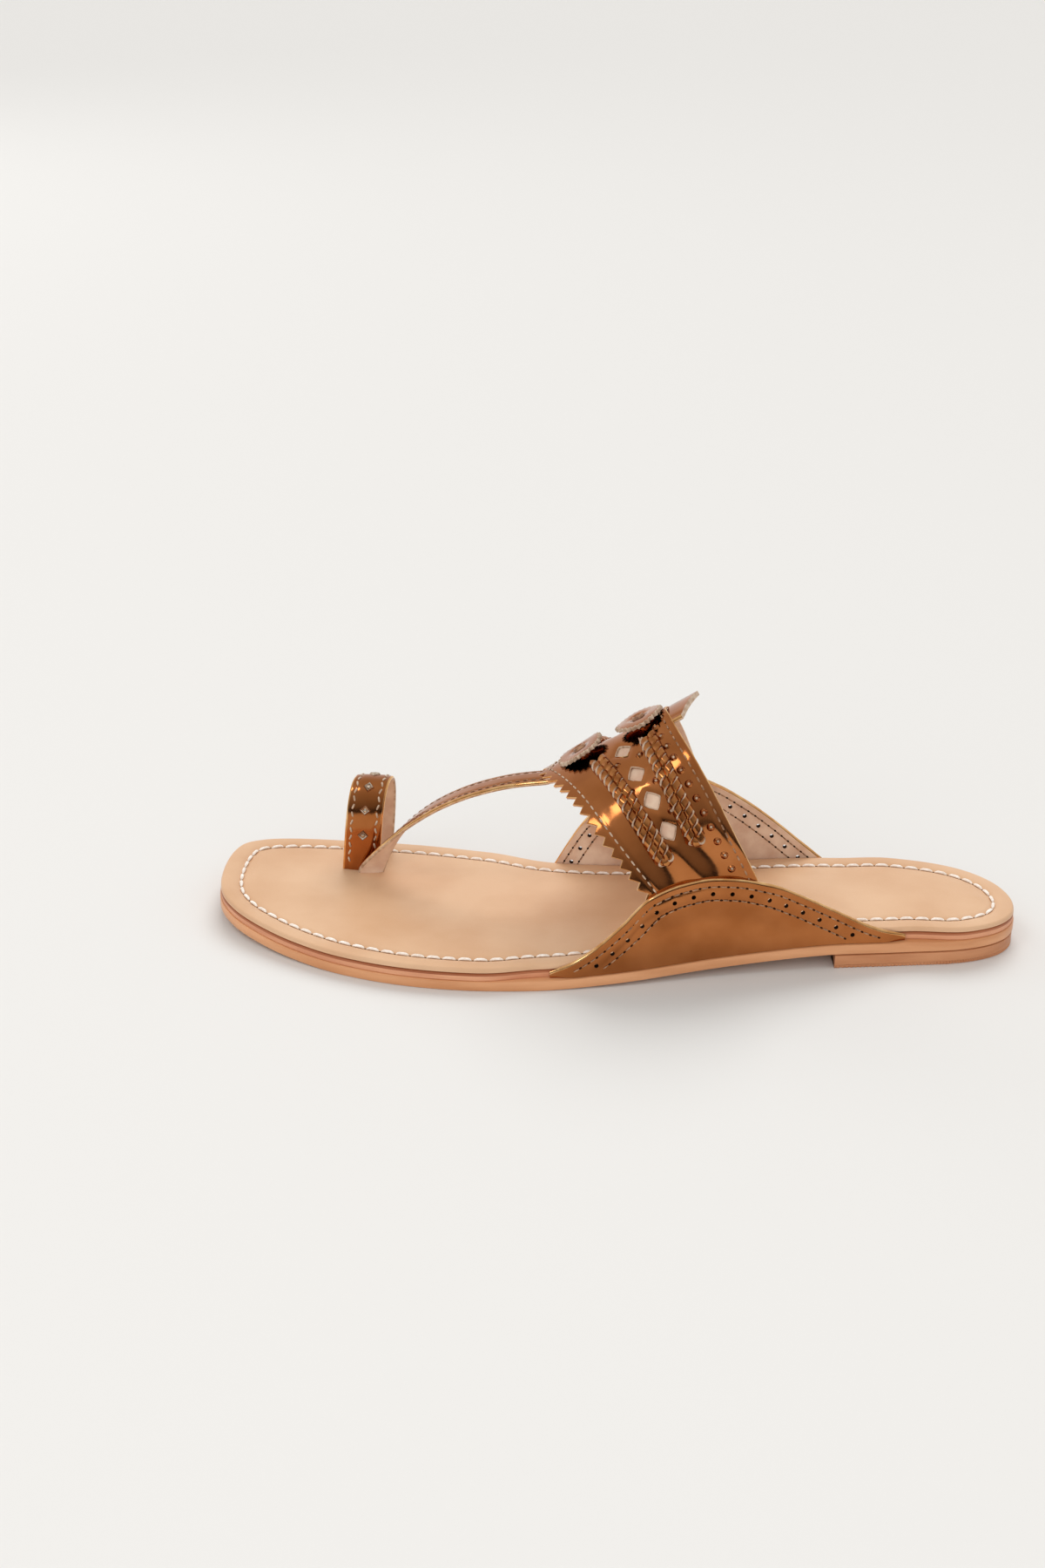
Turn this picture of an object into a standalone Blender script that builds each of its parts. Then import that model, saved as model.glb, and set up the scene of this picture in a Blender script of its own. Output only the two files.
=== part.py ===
"""Kolhapuri sandal for the left foot.

Metres, +Z up. +X points to the toe, +Y to the outer (lateral) side, and the
floor is z = 0. The origin is the middle of the outsole's outline on the floor.
A flat leather sole carries an upper of two side wings, an instep band and a
spine strap that runs down to the footbed beside the ring for the big toe.
"""
import math

import bmesh
import bpy
import numpy as np
from mathutils import Vector

# Sole, from above.
LENGTH = 0.2530
BALL_WIDTH = 0.0890
# Sole, from the side.
OUTSOLE_THICKNESS = 0.0032
BOARD_THICKNESS = 0.0020
FOOTBED_THICKNESS = 0.0015
HEEL_LIFT_THICKNESS = 0.0045
HEEL_LIFT_LENGTH = 0.0575
LIFT_INSET = 0.0004
LIFT_BEVEL = 0.0005
RIB_HEIGHT = 0.0015
RIB_DEPTH = 0.0004
ARCH_LENGTH = 0.0880
ARCH_STRAIGHT = 0.55
TOE_SPRING = 0.0035
TOE_SPRING_LENGTH = 0.0470
BOARD_INSET = 0.0008
RABBET_SLOPE = 0.0007
FOOTBED_RIM = 0.0005
SEAM_INSET = 0.0062
SEAM_DEPTH = 0.0005
SEAM_HALF_WIDTH = 0.0007
FOOTBED_CROWN = 0.0004
OUTSOLE_EDGE = 0.0005
# Fits.
CLEARANCE = 0.0003
# Upper, general.
WING_WALL = 0.0019
WING_SETBACK = 0.0006
BAND_WALL = 0.0011
BAND_INNER = 0.0004
FLANGE_WIDTH = 0.0060
FLANGE_THICKNESS = 0.0010
FLANGE_LIFT = 0.0001
WING_MARGIN = 0.0010
WING_RUNOUT = 0.0110
# Instep form that the straps follow.
CREST_ACROSS = 0.0080
CREST_FROM_HEEL = 0.1108
CREST_HEIGHT = 0.0703
CREST_SLOPE = 0.570
FULLNESS = {1: 0.94, -1: 0.86}
# Wings, measured from the heel end.
LATERAL_WING_REAR = 0.0362
LATERAL_WING_LENGTH = 0.1080
LATERAL_WING_HEIGHT = 0.0246
MEDIAL_WING_REAR = 0.0575
MEDIAL_WING_LENGTH = 0.0900
MEDIAL_WING_HEIGHT = 0.0330
WING_END_HEIGHT = 0.0010
# Instep band, at the crest, measured from the heel end.
BAND_FRONT = 0.1500
BAND_REAR = 0.1110
BAND_SWEEP = 0.0455
BAND_FOOT_ANGLE = 10.0
PINK_PITCH = 0.0041
PINK_DEPTH = 0.0020
CUTOUT_SIZE = 0.0053
CUTOUT_DEPTH = 0.0005
# Spine strap.
STRAP_WALL = 0.0015
STRAP_WIDTH = 0.0085
STRAP_FOOT_WIDTH = 0.0078
STRAP_DROP = 0.0006
STRAP_BOW_RADIUS = 0.0400
TAIL_WIDTH = 0.0115
TAIL_LENGTH = 0.0080
TAIL_KICK = 0.0040
TAIL_RUN = 0.0214
TAIL_POINT = 0.0070
TAIL_TIP_WIDTH = 0.0014
THONG_SETBACK = 0.0025
THONG_REACH = 0.0579
THONG_FOOT_ACROSS = -0.0056
THONG_SPACING = 1.6
RUN_STATIONS = 12
THONG_STATIONS = 19
TWIST = 90.0
TWIST_DONE = 0.93
TWIST_POWER = 4.5
SLOT_PLAY = 0.0012
SLOT_BOTTOM = -0.0010
SLOT_TOP = 0.0200
# Toe loop.
LOOP_FROM_HEEL = 0.2093
LOOP_WIDTH = 0.0105
LOOP_WALL = 0.0016
LOOP_SPAN = 0.0172
LOOP_HEIGHT = 0.0295
LOOP_ACROSS = -0.0162
LOOP_LEAN = 0.0018
LOOP_STEM = 0.0010
LOOP_SHOULDER = 0.35
LOOP_SIDE_FULLNESS = 0.72
LOOP_TOP_FULLNESS = 0.90
# Rosettes and braids.
ROSETTE_DIAMETER = 0.0163
ROSETTE_WALL = 0.0011
ROSETTE_TEETH = 24
ROSETTE_TOOTH = 0.0009
ROSETTE_LIFT = 0.0022
ROSETTE_BEND = 0.05
KNOT_DIAMETER = 0.0052
KNOT_HEIGHT = 0.0008
FRONT_ROSETTE = 0.1354
REAR_ROSETTE = 0.1184
BRAID_WIDTH = 0.0058
BRAID_HEIGHT = 0.0014
BRAID_LINK = 0.0024
BRAID_REACH = 0.0075
CREST_RADIUS = 0.0340
BRAID_SAMPLES = 80
BRAID_RIDGES = (0.35, 0.95, 0.55, 0.95, 0.35)

# Outline: angle round from the toe tip, then the lateral and the medial edge
# as shares of the ball width, from the line through heel and toe.
OUTLINE = (
    (0, -0.010, -0.010),
    (5, 0.095, -0.107),
    (10, 0.180, -0.182),
    (20, 0.302, -0.264),
    (30, 0.403, -0.315),
    (40, 0.500, -0.344),
    (50, 0.585, -0.352),
    (60, 0.641, -0.340),
    (70, 0.659, -0.308),
    (80, 0.638, -0.270),
    (90, 0.584, -0.248),
    (105, 0.469, -0.275),
    (120, 0.380, -0.302),
    (135, 0.325, -0.300),
    (150, 0.276, -0.243),
    (165, 0.186, -0.118),
    (172, 0.127, -0.042),
    (180, 0.043, 0.043),
)
# Wings: share of the length from the front tip, then the share of the height
# at the lateral and at the medial side.
WING_ARCH = (
    (0.00, 0.00, 0.00),
    (0.05, 0.10, 0.26),
    (0.10, 0.22, 0.49),
    (0.15, 0.38, 0.66),
    (0.20, 0.57, 0.77),
    (0.27, 0.86, 0.88),
    (0.35, 0.97, 0.97),
    (0.42, 1.00, 1.00),
    (0.50, 0.96, 0.98),
    (0.60, 0.83, 0.87),
    (0.70, 0.61, 0.69),
    (0.80, 0.37, 0.47),
    (0.90, 0.15, 0.23),
    (1.00, 0.00, 0.00),
)
# Band: angle up from the sole, then how far the front and the rear edge have
# swept back from the crest on the lateral side, and the same on the medial
# side, as shares of the sweep.
BAND_EDGES = (
    (0, 1.000, 0.830, 0.750, 0.550),
    (15, 0.790, 0.620, 0.530, 0.370),
    (30, 0.580, 0.430, 0.335, 0.210),
    (45, 0.405, 0.280, 0.235, 0.120),
    (60, 0.268, 0.155, 0.150, 0.055),
    (75, 0.135, 0.060, 0.065, 0.018),
    (90, 0.000, 0.000, 0.000, 0.000),
)
# Thong: share of the reach from the band to the footbed, then the share of
# the shift across and of the height above the outsole.
THONG = (
    (0.000, 1.00, 1.000),
    (0.175, 0.93, 0.956),
    (0.365, 0.77, 0.868),
    (0.573, 0.55, 0.722),
    (0.730, 0.37, 0.562),
    (0.858, 0.23, 0.385),
    (0.948, 0.08, 0.205),
    (0.990, 0.00, 0.088),
    (1.000, 0.00, 0.015),
)
# Cut-outs between the braids: angle up from the sole and share of the band's
# width behind its front edge.
CUTOUTS = ((79.0, 0.576), (63.3, 0.550), (49.7, 0.540), (37.4, 0.520))
# Braids: share of the band's width at the upper and at the lower end, and the
# angle of the lower end.
BRAIDS = {"front": (0.375, 0.365, 28.6), "rear": (0.785, 0.690, 31.0)}

HALF = LENGTH / 2.0
SIDES = {"lateral": 1, "medial": -1}


def column(table, index):
    """One column of a table as numbers."""
    return [float(row[index]) for row in table]


def smooth(xs, ys, at, rounded=False):
    """Value at a place between the rows, on a curve without overshoot.

    A rounded curve bends more evenly, for rows that already lie on an arc.
    """
    xs = np.asarray(xs, float)
    ys = np.asarray(ys, float)
    step = np.diff(xs)
    rise = np.diff(ys) / step
    slope = np.zeros(len(xs))
    slope[0] = rise[0]
    slope[-1] = rise[-1]
    for i in range(1, len(xs) - 1):
        if rounded:
            slope[i] = (rise[i - 1] * step[i] + rise[i] * step[i - 1]) / (step[i - 1] + step[i])
        elif rise[i - 1] * rise[i] > 0:
            before = step[i] + 2 * step[i - 1]
            after = 2 * step[i] + step[i - 1]
            total = before + after
            slope[i] = total / (after / rise[i - 1] + before / rise[i])
    at = min(max(at, xs[0]), xs[-1])
    i = min(int(np.searchsorted(xs, at, side="right")) - 1, len(xs) - 2)
    t = (at - xs[i]) / step[i]
    start = (1 + 2 * t) * (1 - t) ** 2 * ys[i] + t * (1 - t) ** 2 * step[i] * slope[i]
    end = t * t * (3 - 2 * t) * ys[i + 1] - t * t * (1 - t) * step[i] * slope[i + 1]
    return float(start + end)


ANGLES = column(OUTLINE, 0)
WIDTH_MIDDLE = 0.5 * (max(column(OUTLINE, 1)) + min(column(OUTLINE, 2))) * BALL_WIDTH


def edge(side, angle):
    """Across position of the outline at an angle round from the toe tip."""
    index = 1 if side > 0 else 2
    share = smooth(ANGLES, column(OUTLINE, index), angle, rounded=True)
    return share * BALL_WIDTH - WIDTH_MIDDLE


def edge_at(side, x):
    """Across position of the outline at a place along the sole."""
    cosine = min(max(x / HALF, -1.0), 1.0)
    return edge(side, math.degrees(math.acos(cosine)))


def from_heel(distance):
    """Place along the sole at a distance from the heel end."""
    return distance - HALF


def across(distance):
    """Place across the sole at a distance from the heel to toe line."""
    return distance - WIDTH_MIDDLE


HEEL_BREAST = from_heel(HEEL_LIFT_LENGTH)
ARCH_RISE = HEEL_LIFT_THICKNESS + CLEARANCE


def underside(x):
    """Height of the outsole's underside."""
    past = max(x - (HALF - TOE_SPRING_LENGTH), 0.0) / TOE_SPRING_LENGTH
    t = min(max((HEEL_BREAST + ARCH_LENGTH - x) / ARCH_LENGTH, 0.0), 1.0)
    rise = ARCH_STRAIGHT * t + (1.0 - ARCH_STRAIGHT) * t * t * (3 - 2 * t)
    return TOE_SPRING * past * past + ARCH_RISE * rise


def outsole_top(x):
    """Height of the outsole's upper face."""
    return underside(x) + OUTSOLE_THICKNESS


def board_bottom(x):
    """Height of the board's underside."""
    return outsole_top(x) + CLEARANCE


def board_top(x):
    """Height of the board's upper face."""
    return board_bottom(x) + BOARD_THICKNESS


def footbed_bottom(x):
    """Height of the footbed's underside."""
    return board_top(x) + CLEARANCE


def footbed_top(x):
    """Height of the footbed's upper face."""
    return footbed_bottom(x) + FOOTBED_THICKNESS


WINGS = {
    1: (LATERAL_WING_REAR, LATERAL_WING_LENGTH, LATERAL_WING_HEIGHT),
    -1: (MEDIAL_WING_REAR, MEDIAL_WING_LENGTH, MEDIAL_WING_HEIGHT),
}
WING_INSET = WING_SETBACK + WING_WALL


def beside_wing(x, side):
    """1 beside a wing, 0 away from it, with a soft change past its tips."""
    rear, length, _ = WINGS[side]
    start = from_heel(rear)
    past = max(start - x, x - start - length, 0.0)
    t = min(max((past - WING_MARGIN) / WING_RUNOUT, 0.0), 1.0)
    return 1.0 - t * t * (3 - 2 * t)


def board_inset(x, side):
    """How far the board and the footbed stay inside the outline."""
    beside = WING_INSET + CLEARANCE + FLANGE_LIFT
    return BOARD_INSET + (beside - BOARD_INSET) * beside_wing(x, side)


def make_material(name, colour, roughness, metallic=0.0):
    """A Principled material."""
    material = bpy.data.materials.new(name)
    material.use_nodes = True
    shader = material.node_tree.nodes["Principled BSDF"]
    shader.inputs["Base Color"].default_value = (*colour, 1.0)
    shader.inputs["Roughness"].default_value = roughness
    shader.inputs["Metallic"].default_value = metallic
    return material


def add_object(name, points, faces, material):
    """One closed mesh object with its faces turned outward."""
    mesh = bpy.data.meshes.new(name)
    mesh.from_pydata([tuple(p) for p in points], [], faces)
    built = bmesh.new()
    built.from_mesh(mesh)
    bmesh.ops.recalc_face_normals(built, faces=built.faces)
    built.to_mesh(mesh)
    built.free()
    mesh.materials.append(material)
    mesh.shade_smooth()
    mesh.set_sharp_from_angle(angle=math.radians(40))
    item = bpy.data.objects.new(name, mesh)
    bpy.context.scene.collection.objects.link(item)
    return item


def outline_pairs(count, start=0.0):
    """Angles, then the lateral and the medial edge point at each of them."""
    angles = [start + (180.0 - start) * i / count for i in range(count + 1)]
    rows = []
    for angle in angles:
        x = HALF * math.cos(math.radians(angle))
        rows.append((x, edge(1, angle), edge(-1, angle)))
    return rows


def ring_of(rows, cut_front):
    """Points round the outline with their sides, lateral edge first."""
    last = len(rows) - 1
    ring = [(rows[i][0], rows[i][1], 1) for i in range(last + 1)]
    stop = 0 if cut_front else 1
    for i in range(last - 1, stop - 1, -1):
        ring.append((rows[i][0], rows[i][2], -1))
    return ring


def inset_ring(ring, inset, height, cut_front):
    """The ring moved inward by a distance, at a height worked out along it."""
    count = len(ring)
    points = []
    for i, (x, y, side) in enumerate(ring):
        before = ring[i - 1]
        after = ring[(i + 1) % count]
        if cut_front and i == 0:
            before = ring[0]
        if cut_front and i == count - 1:
            after = ring[-1]
        along = Vector((after[0] - before[0], after[1] - before[1], 0.0)).normalized()
        inward = Vector((along.y, -along.x, 0.0))
        if inward.dot(Vector((-x * 0.2, -y, 0.0))) < 0:
            inward = -inward
        amount = inset(x, side)
        px = x + inward.x * amount
        py = y + inward.y * amount
        if cut_front and i in (0, count - 1):
            px = x
        points.append(Vector((px, py, height(px, side))))
    return points


def slab(name, layers, material, count=64, start=0.0, columns=1, crown=None):
    """A closed layer of the sole, lofted through inset rings from below."""
    cut_front = start > 0.0
    rows = outline_pairs(count, start)
    ring = ring_of(rows, cut_front)
    points = []
    faces = []
    size = len(ring)
    for inset, height in layers:
        points += inset_ring(ring, inset, height, cut_front)
    for layer in range(len(layers) - 1):
        for i in range(size):
            a = layer * size + i
            b = layer * size + (i + 1) % size
            faces.append((a, b, b + size, a + size))
    first = 0 if cut_front else 1
    for level, parts in ((0, 1), (len(layers) - 1, columns)):
        base = level * size
        previous = None
        for i in range(first, count):
            lateral = base + i
            medial = base + size - i if not cut_front else base + size - 1 - i
            row = [lateral]
            for j in range(1, parts):
                t = j / parts
                inner = points[lateral].lerp(points[medial], t)
                inner.z += crown(t) if crown else 0.0
                points.append(inner)
                row.append(len(points) - 1)
            row.append(medial)
            if previous is None and not cut_front:
                for j in range(parts):
                    faces.append((base, row[j], row[j + 1]))
            if previous is not None:
                for j in range(parts):
                    faces.append((previous[j], row[j], row[j + 1], previous[j + 1]))
            previous = row
        tip = base + count
        for j in range(parts):
            faces.append((previous[j], tip, previous[j + 1]))
    return add_object(name, points, faces, material)


def constant(value):
    """An inset that is the same all round."""
    return lambda x, side: value


def sheet_solid(name, rows, columns, inner, outer, material):
    """A closed sheet between an inner and an outer grid of points."""
    points = []
    for surface in (inner, outer):
        for i in range(rows):
            for j in range(columns):
                points.append(surface(i, j))
    total = rows * columns
    faces = []
    for i in range(rows - 1):
        for j in range(columns - 1):
            a = i * columns + j
            quad = (a, a + 1, a + 1 + columns, a + columns)
            faces.append(quad)
            faces.append(tuple(k + total for k in reversed(quad)))
    border = [j for j in range(columns)]
    border += [i * columns + columns - 1 for i in range(1, rows)]
    border += [(rows - 1) * columns + j for j in range(columns - 2, -1, -1)]
    border += [i * columns for i in range(rows - 2, 0, -1)]
    for k in range(len(border)):
        a = border[k]
        b = border[(k + 1) % len(border)]
        faces.append((a, b, b + total, a + total))
    return add_object(name, points, faces, material)


def apply_boolean(target, tool, operation):
    """Join a tool to an object or cut it away, and remove the tool."""
    modifier = target.modifiers.new(operation.title(), "BOOLEAN")
    modifier.operation = operation
    modifier.solver = "EXACT"
    modifier.object = tool
    depsgraph = bpy.context.evaluated_depsgraph_get()
    mesh = bpy.data.meshes.new_from_object(target.evaluated_get(depsgraph))
    target.modifiers.clear()
    target.data = mesh
    bpy.data.objects.remove(tool, do_unlink=True)


def instep_crest(x):
    """Height of the instep form along its crest."""
    return CREST_HEIGHT - CREST_SLOPE * (x - from_heel(CREST_FROM_HEEL))


def instep(x, angle, offset=0.0):
    """Point of the instep form, at an angle up from the lateral sole edge."""
    place = instep_place(x, angle)
    if offset == 0.0:
        return place
    small = 0.0005
    along = instep_place(x + small, angle) - instep_place(x - small, angle)
    around = instep_place(x, angle + 0.002) - instep_place(x, angle - 0.002)
    normal = along.cross(around).normalized()
    if normal.y * math.cos(angle) + normal.z * math.sin(angle) < 0:
        normal = -normal
    return place + normal * offset


def instep_place(x, angle):
    """Point of the instep form itself: half a rounded arch on each side."""
    side = 1 if math.cos(angle) >= 0 else -1
    crest = across(CREST_ACROSS)
    foot = edge_at(side, x) - side * WING_INSET
    base = board_bottom(x)
    fullness = FULLNESS[side]
    out = abs(math.cos(angle)) ** fullness
    up = max(math.sin(angle), 0.0) ** fullness
    return Vector((x, crest + (foot - crest) * out, base + (instep_crest(x) - base) * up))


def wing_height(side, share):
    """Height of a wing's arch above the outsole."""
    index = 1 if side > 0 else 2
    arch = smooth(column(WING_ARCH, 0), column(WING_ARCH, index), share)
    return WING_END_HEIGHT + arch * WINGS[side][2]


def wing(side, rows=26, columns=5):
    """An arched side flap that stands on the outsole beside the board."""
    rear, length, _ = WINGS[side]
    fullness = FULLNESS[side]

    def grid(offset):
        def point(i, j):
            share = 0.5 - 0.5 * math.cos(math.pi * i / (rows - 1))
            x = from_heel(rear) + length * (1.0 - share)
            span = instep_crest(x) - board_bottom(x)
            sine = (wing_height(side, share) / span) ** (1.0 / fullness)
            top = math.asin(min(sine, 0.98))
            angle = top * j / (columns - 1)
            if side < 0:
                angle = math.pi - angle
            return instep(x, angle, offset)

        return point

    return sheet_solid("wing", rows, columns, grid(0.0), grid(WING_WALL), LEATHER)


def flange(side, rows=18):
    """The wing's margin, turned in under the board."""
    rear, length, _ = WINGS[side]

    def grid(lift):
        def point(i, j):
            share = 0.02 + 0.96 * i / (rows - 1)
            x = from_heel(rear) + length * (1.0 - share)
            taper = math.sqrt(math.sin(math.pi * share))
            outer = WING_SETBACK + WING_WALL * 0.5
            inset = outer + j * (WING_WALL * 0.5 + FLANGE_WIDTH * taper)
            y = edge_at(side, x) - side * inset
            return Vector((x, y, board_bottom(x) + lift))

        return point

    low = FLANGE_LIFT
    return sheet_solid("flange", rows, 2, grid(low), grid(low + FLANGE_THICKNESS), LEATHER)


def band_edges(angle):
    """Front and rear edge of the band at an angle up from the sole."""
    rise = math.degrees(angle)
    first = 1 if rise <= 90.0 else 3
    rise = min(rise, 180.0 - rise)
    angles = column(BAND_EDGES, 0)
    swept = smooth(angles, column(BAND_EDGES, first), rise)
    front = from_heel(BAND_FRONT) - BAND_SWEEP * swept
    swept = smooth(angles, column(BAND_EDGES, first + 1), rise)
    rear = from_heel(BAND_REAR) - BAND_SWEEP * swept
    return front, rear


def band_angles(step):
    """Angles over the band so that its front edge is cut at an even step."""
    foot = math.radians(BAND_FOOT_ANGLE)
    fine = [foot + (math.pi - 2 * foot) * i / 600 for i in range(601)]
    places = [instep(band_edges(a)[0], a, BAND_INNER) for a in fine]
    lengths = [0.0]
    for i in range(600):
        lengths.append(lengths[-1] + (places[i + 1] - places[i]).length)
    count = 2 * max(int(round(lengths[-1] / (2 * step))), 6)
    wanted = [lengths[-1] * i / count for i in range(count + 1)]
    return [float(np.interp(w, lengths, fine)) for w in wanted]


def band(columns=8):
    """The instep band, pinked along its front edge."""
    angles = band_angles(PINK_PITCH / 2.0)

    def grid(offset):
        def point(i, j):
            front, rear = band_edges(angles[i])
            share = j / (columns - 1)
            x = front + (rear - front) * share
            if j == 0:
                x -= PINK_DEPTH * (i % 2)
            return instep(x, angles[i], offset)

        return point

    outer = BAND_INNER + BAND_WALL
    return sheet_solid("band", len(angles), columns, grid(BAND_INNER), grid(outer), LEATHER)


def cutout_tools():
    """Kite shaped tools that sink the cut-outs into the band's face."""
    tools = []
    for side in SIDES.values():
        for rise, share in CUTOUTS:
            angle = math.radians(rise) if side > 0 else math.pi - math.radians(rise)
            front, rear = band_edges(angle)
            x = front + (rear - front) * share
            outer = BAND_INNER + BAND_WALL
            place = instep(x, angle, outer)
            normal = (instep(x, angle, outer + 0.001) - place).normalized()
            down = instep(x, angle - side * 0.05, outer) - instep(x, angle, outer)
            along = (down - normal * down.dot(normal)).normalized()
            sideways = normal.cross(along)
            half = CUTOUT_SIZE / 2.0
            corners = (along * half * 1.15, sideways * half, -along * half * 1.15, -sideways * half)
            points = []
            for level in (-CUTOUT_DEPTH, 0.002):
                for corner in corners:
                    points.append(place + corner + normal * level)
            faces = [(3, 2, 1, 0), (4, 5, 6, 7)]
            for k in range(4):
                n = (k + 1) % 4
                faces.append((k, n, n + 4, k + 4))
            tools.append(add_object("cutout_tool", points, faces, LEATHER))
    return tools


def spine_path():
    """Stations of the spine strap, from the tip of the tail to the footbed."""
    stations = []
    crest = across(CREST_ACROSS)
    tail_tip = from_heel(BAND_REAR) - TAIL_LENGTH
    band_front = from_heel(BAND_FRONT) - THONG_SETBACK
    middle = STRAP_WALL / 2.0 - STRAP_DROP
    for i in range(RUN_STATIONS):
        x = tail_tip + (band_front - STRAP_WIDTH - tail_tip) * i / (RUN_STATIONS - 1)
        lift = middle * math.hypot(1.0, CREST_SLOPE)
        past = max(from_heel(BAND_REAR) - x, 0.0) / TAIL_LENGTH
        lift += TAIL_KICK * past * past
        stations.append(Vector((x, crest, instep_crest(x) + lift)))
    foot = across(THONG_FOOT_ACROSS)
    start = instep_crest(band_front) + middle
    end_x = band_front + THONG_REACH
    floor = board_bottom(end_x)
    shares = column(THONG, 0)
    for i in range(THONG_STATIONS):
        t = i / (THONG_STATIONS - 1)
        travel = 1.0 - (1.0 - t) ** THONG_SPACING
        x = band_front + THONG_REACH * travel
        y = foot + (crest - foot) * smooth(shares, column(THONG, 1), travel)
        z = floor + (start - floor) * smooth(shares, column(THONG, 2), travel)
        stations.append(Vector((x, y, z)))
    return stations


def spine_strap():
    """The strap along the crest: tail, run under the band, and thong."""
    path = spine_path()
    count = len(path)
    lengths = [0.0]
    for i in range(1, count):
        lengths.append(lengths[-1] + (path[i] - path[i - 1]).length)
    front = RUN_STATIONS + 1
    frames = []
    for i, place in enumerate(path):
        before = path[max(i - 1, 0)]
        after = path[min(i + 1, count - 1)]
        tangent = (after - before).normalized()
        if i >= count - 2:
            tangent = Vector((0.0, 0.0, -1.0))
        wide = Vector((0.0, -1.0, 0.0))
        wide = (wide - tangent * wide.dot(tangent)).normalized()
        normal = wide.cross(tangent)
        t = (lengths[i] - lengths[front]) / (lengths[-1] - lengths[front])
        turn = math.radians(TWIST) * min(max(t / TWIST_DONE, 0.0), 1.0) ** TWIST_POWER
        turned = wide * math.cos(turn) - normal * math.sin(turn)
        normal = normal * math.cos(turn) + wide * math.sin(turn)
        share = min(max((lengths[i] - lengths[front]) / (lengths[-1] - lengths[front]), 0.0), 1.0)
        width = STRAP_WIDTH + (STRAP_FOOT_WIDTH - STRAP_WIDTH) * share
        if lengths[i] < TAIL_RUN:
            width = TAIL_WIDTH
        width = max(width * min(lengths[i] / TAIL_POINT, 1.0), TAIL_TIP_WIDTH)
        sag = 1.0 if lengths[i] < lengths[front] else max(1.0 - 3.0 * share, 0.0)
        frames.append((place, turned, normal, width, sag))

    def grid(offset):
        def point(i, j):
            place, turned, normal, width, sag = frames[i]
            side = (j - 1) * width / 2.0
            bow = -sag * side * side / (2.0 * STRAP_BOW_RADIUS)
            return place + turned * side + normal * (offset + bow)

        return point

    half = STRAP_WALL / 2.0
    return sheet_solid("strap", count, 3, grid(-half), grid(half), LEATHER)


def loop_path(count=25):
    """Centre line of the toe loop, lateral leg first."""
    x = from_heel(LOOP_FROM_HEEL)
    low = board_bottom(x)
    spring = footbed_top(x) + LOOP_SHOULDER * LOOP_HEIGHT
    top = footbed_top(x) + LOOP_HEIGHT - LOOP_WALL / 2.0
    middle = across(LOOP_ACROSS)
    half = LOOP_SPAN / 2.0
    places = [(x, middle + half, low), (x, middle + half, footbed_top(x) + LOOP_STEM)]
    for i in range(count):
        u = math.pi * i / (count - 1)
        out = math.copysign(abs(math.cos(u)) ** LOOP_SIDE_FULLNESS, math.cos(u))
        z = spring + (top - spring) * math.sin(u) ** LOOP_TOP_FULLNESS
        places.append((x, middle + half * out, z))
    places += [(x, middle - half, footbed_top(x) + LOOP_STEM), (x, middle - half, low)]
    return [Vector(p) for p in places]


def toe_loop():
    """The ring strap for the big toe."""
    path = loop_path()
    count = len(path)
    top = max(p.z for p in path)
    low = footbed_top(path[0].x)

    def grid(offset):
        def point(i, j):
            place = path[i]
            before = path[max(i - 1, 0)]
            after = path[min(i + 1, count - 1)]
            tangent = (after - before).normalized()
            normal = Vector((1.0, 0.0, 0.0)).cross(tangent)
            share = min(max((place.z - low) / (top - low), 0.0), 1.0)
            lean = -LOOP_LEAN * share
            side = (j - 1) * LOOP_WIDTH / 2.0
            return place + normal * offset + Vector((side + lean, 0.0, 0.0))

        return point

    half = LOOP_WALL / 2.0
    return sheet_solid("toe_loop", count, 3, grid(-half), grid(half), MIRROR_LEATHER)


def box_tool(name, low, high):
    """A box between two corners."""
    points = []
    for z in (low[2], high[2]):
        for x, y in ((low[0], low[1]), (high[0], low[1]), (high[0], high[1]), (low[0], high[1])):
            points.append(Vector((x, y, z)))
    faces = [(3, 2, 1, 0), (4, 5, 6, 7)]
    for k in range(4):
        n = (k + 1) % 4
        faces.append((k, n, n + 4, k + 4))
    return add_object(name, points, faces, LEATHER)


def strap_slots():
    """Slots for both legs of the toe loop and for the thong."""
    gap = CLEARANCE
    loop_x = from_heel(LOOP_FROM_HEEL)
    half = LOOP_WIDTH / 2.0 + gap
    wall = LOOP_WALL / 2.0 + gap
    slots = []
    for sign in (1, -1):
        y = across(LOOP_ACROSS) + sign * LOOP_SPAN / 2.0
        slots.append(((loop_x - half, y - wall, SLOT_BOTTOM), (loop_x + half, y + wall, SLOT_TOP)))
    end = spine_path()[-1]
    half = STRAP_FOOT_WIDTH / 2.0 + gap
    wall = STRAP_WALL / 2.0 + gap
    slots.append(((end.x - half - SLOT_PLAY, end.y - wall - gap, SLOT_BOTTOM),
                  (end.x + half, end.y + wall + gap, SLOT_TOP)))
    return slots


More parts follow.
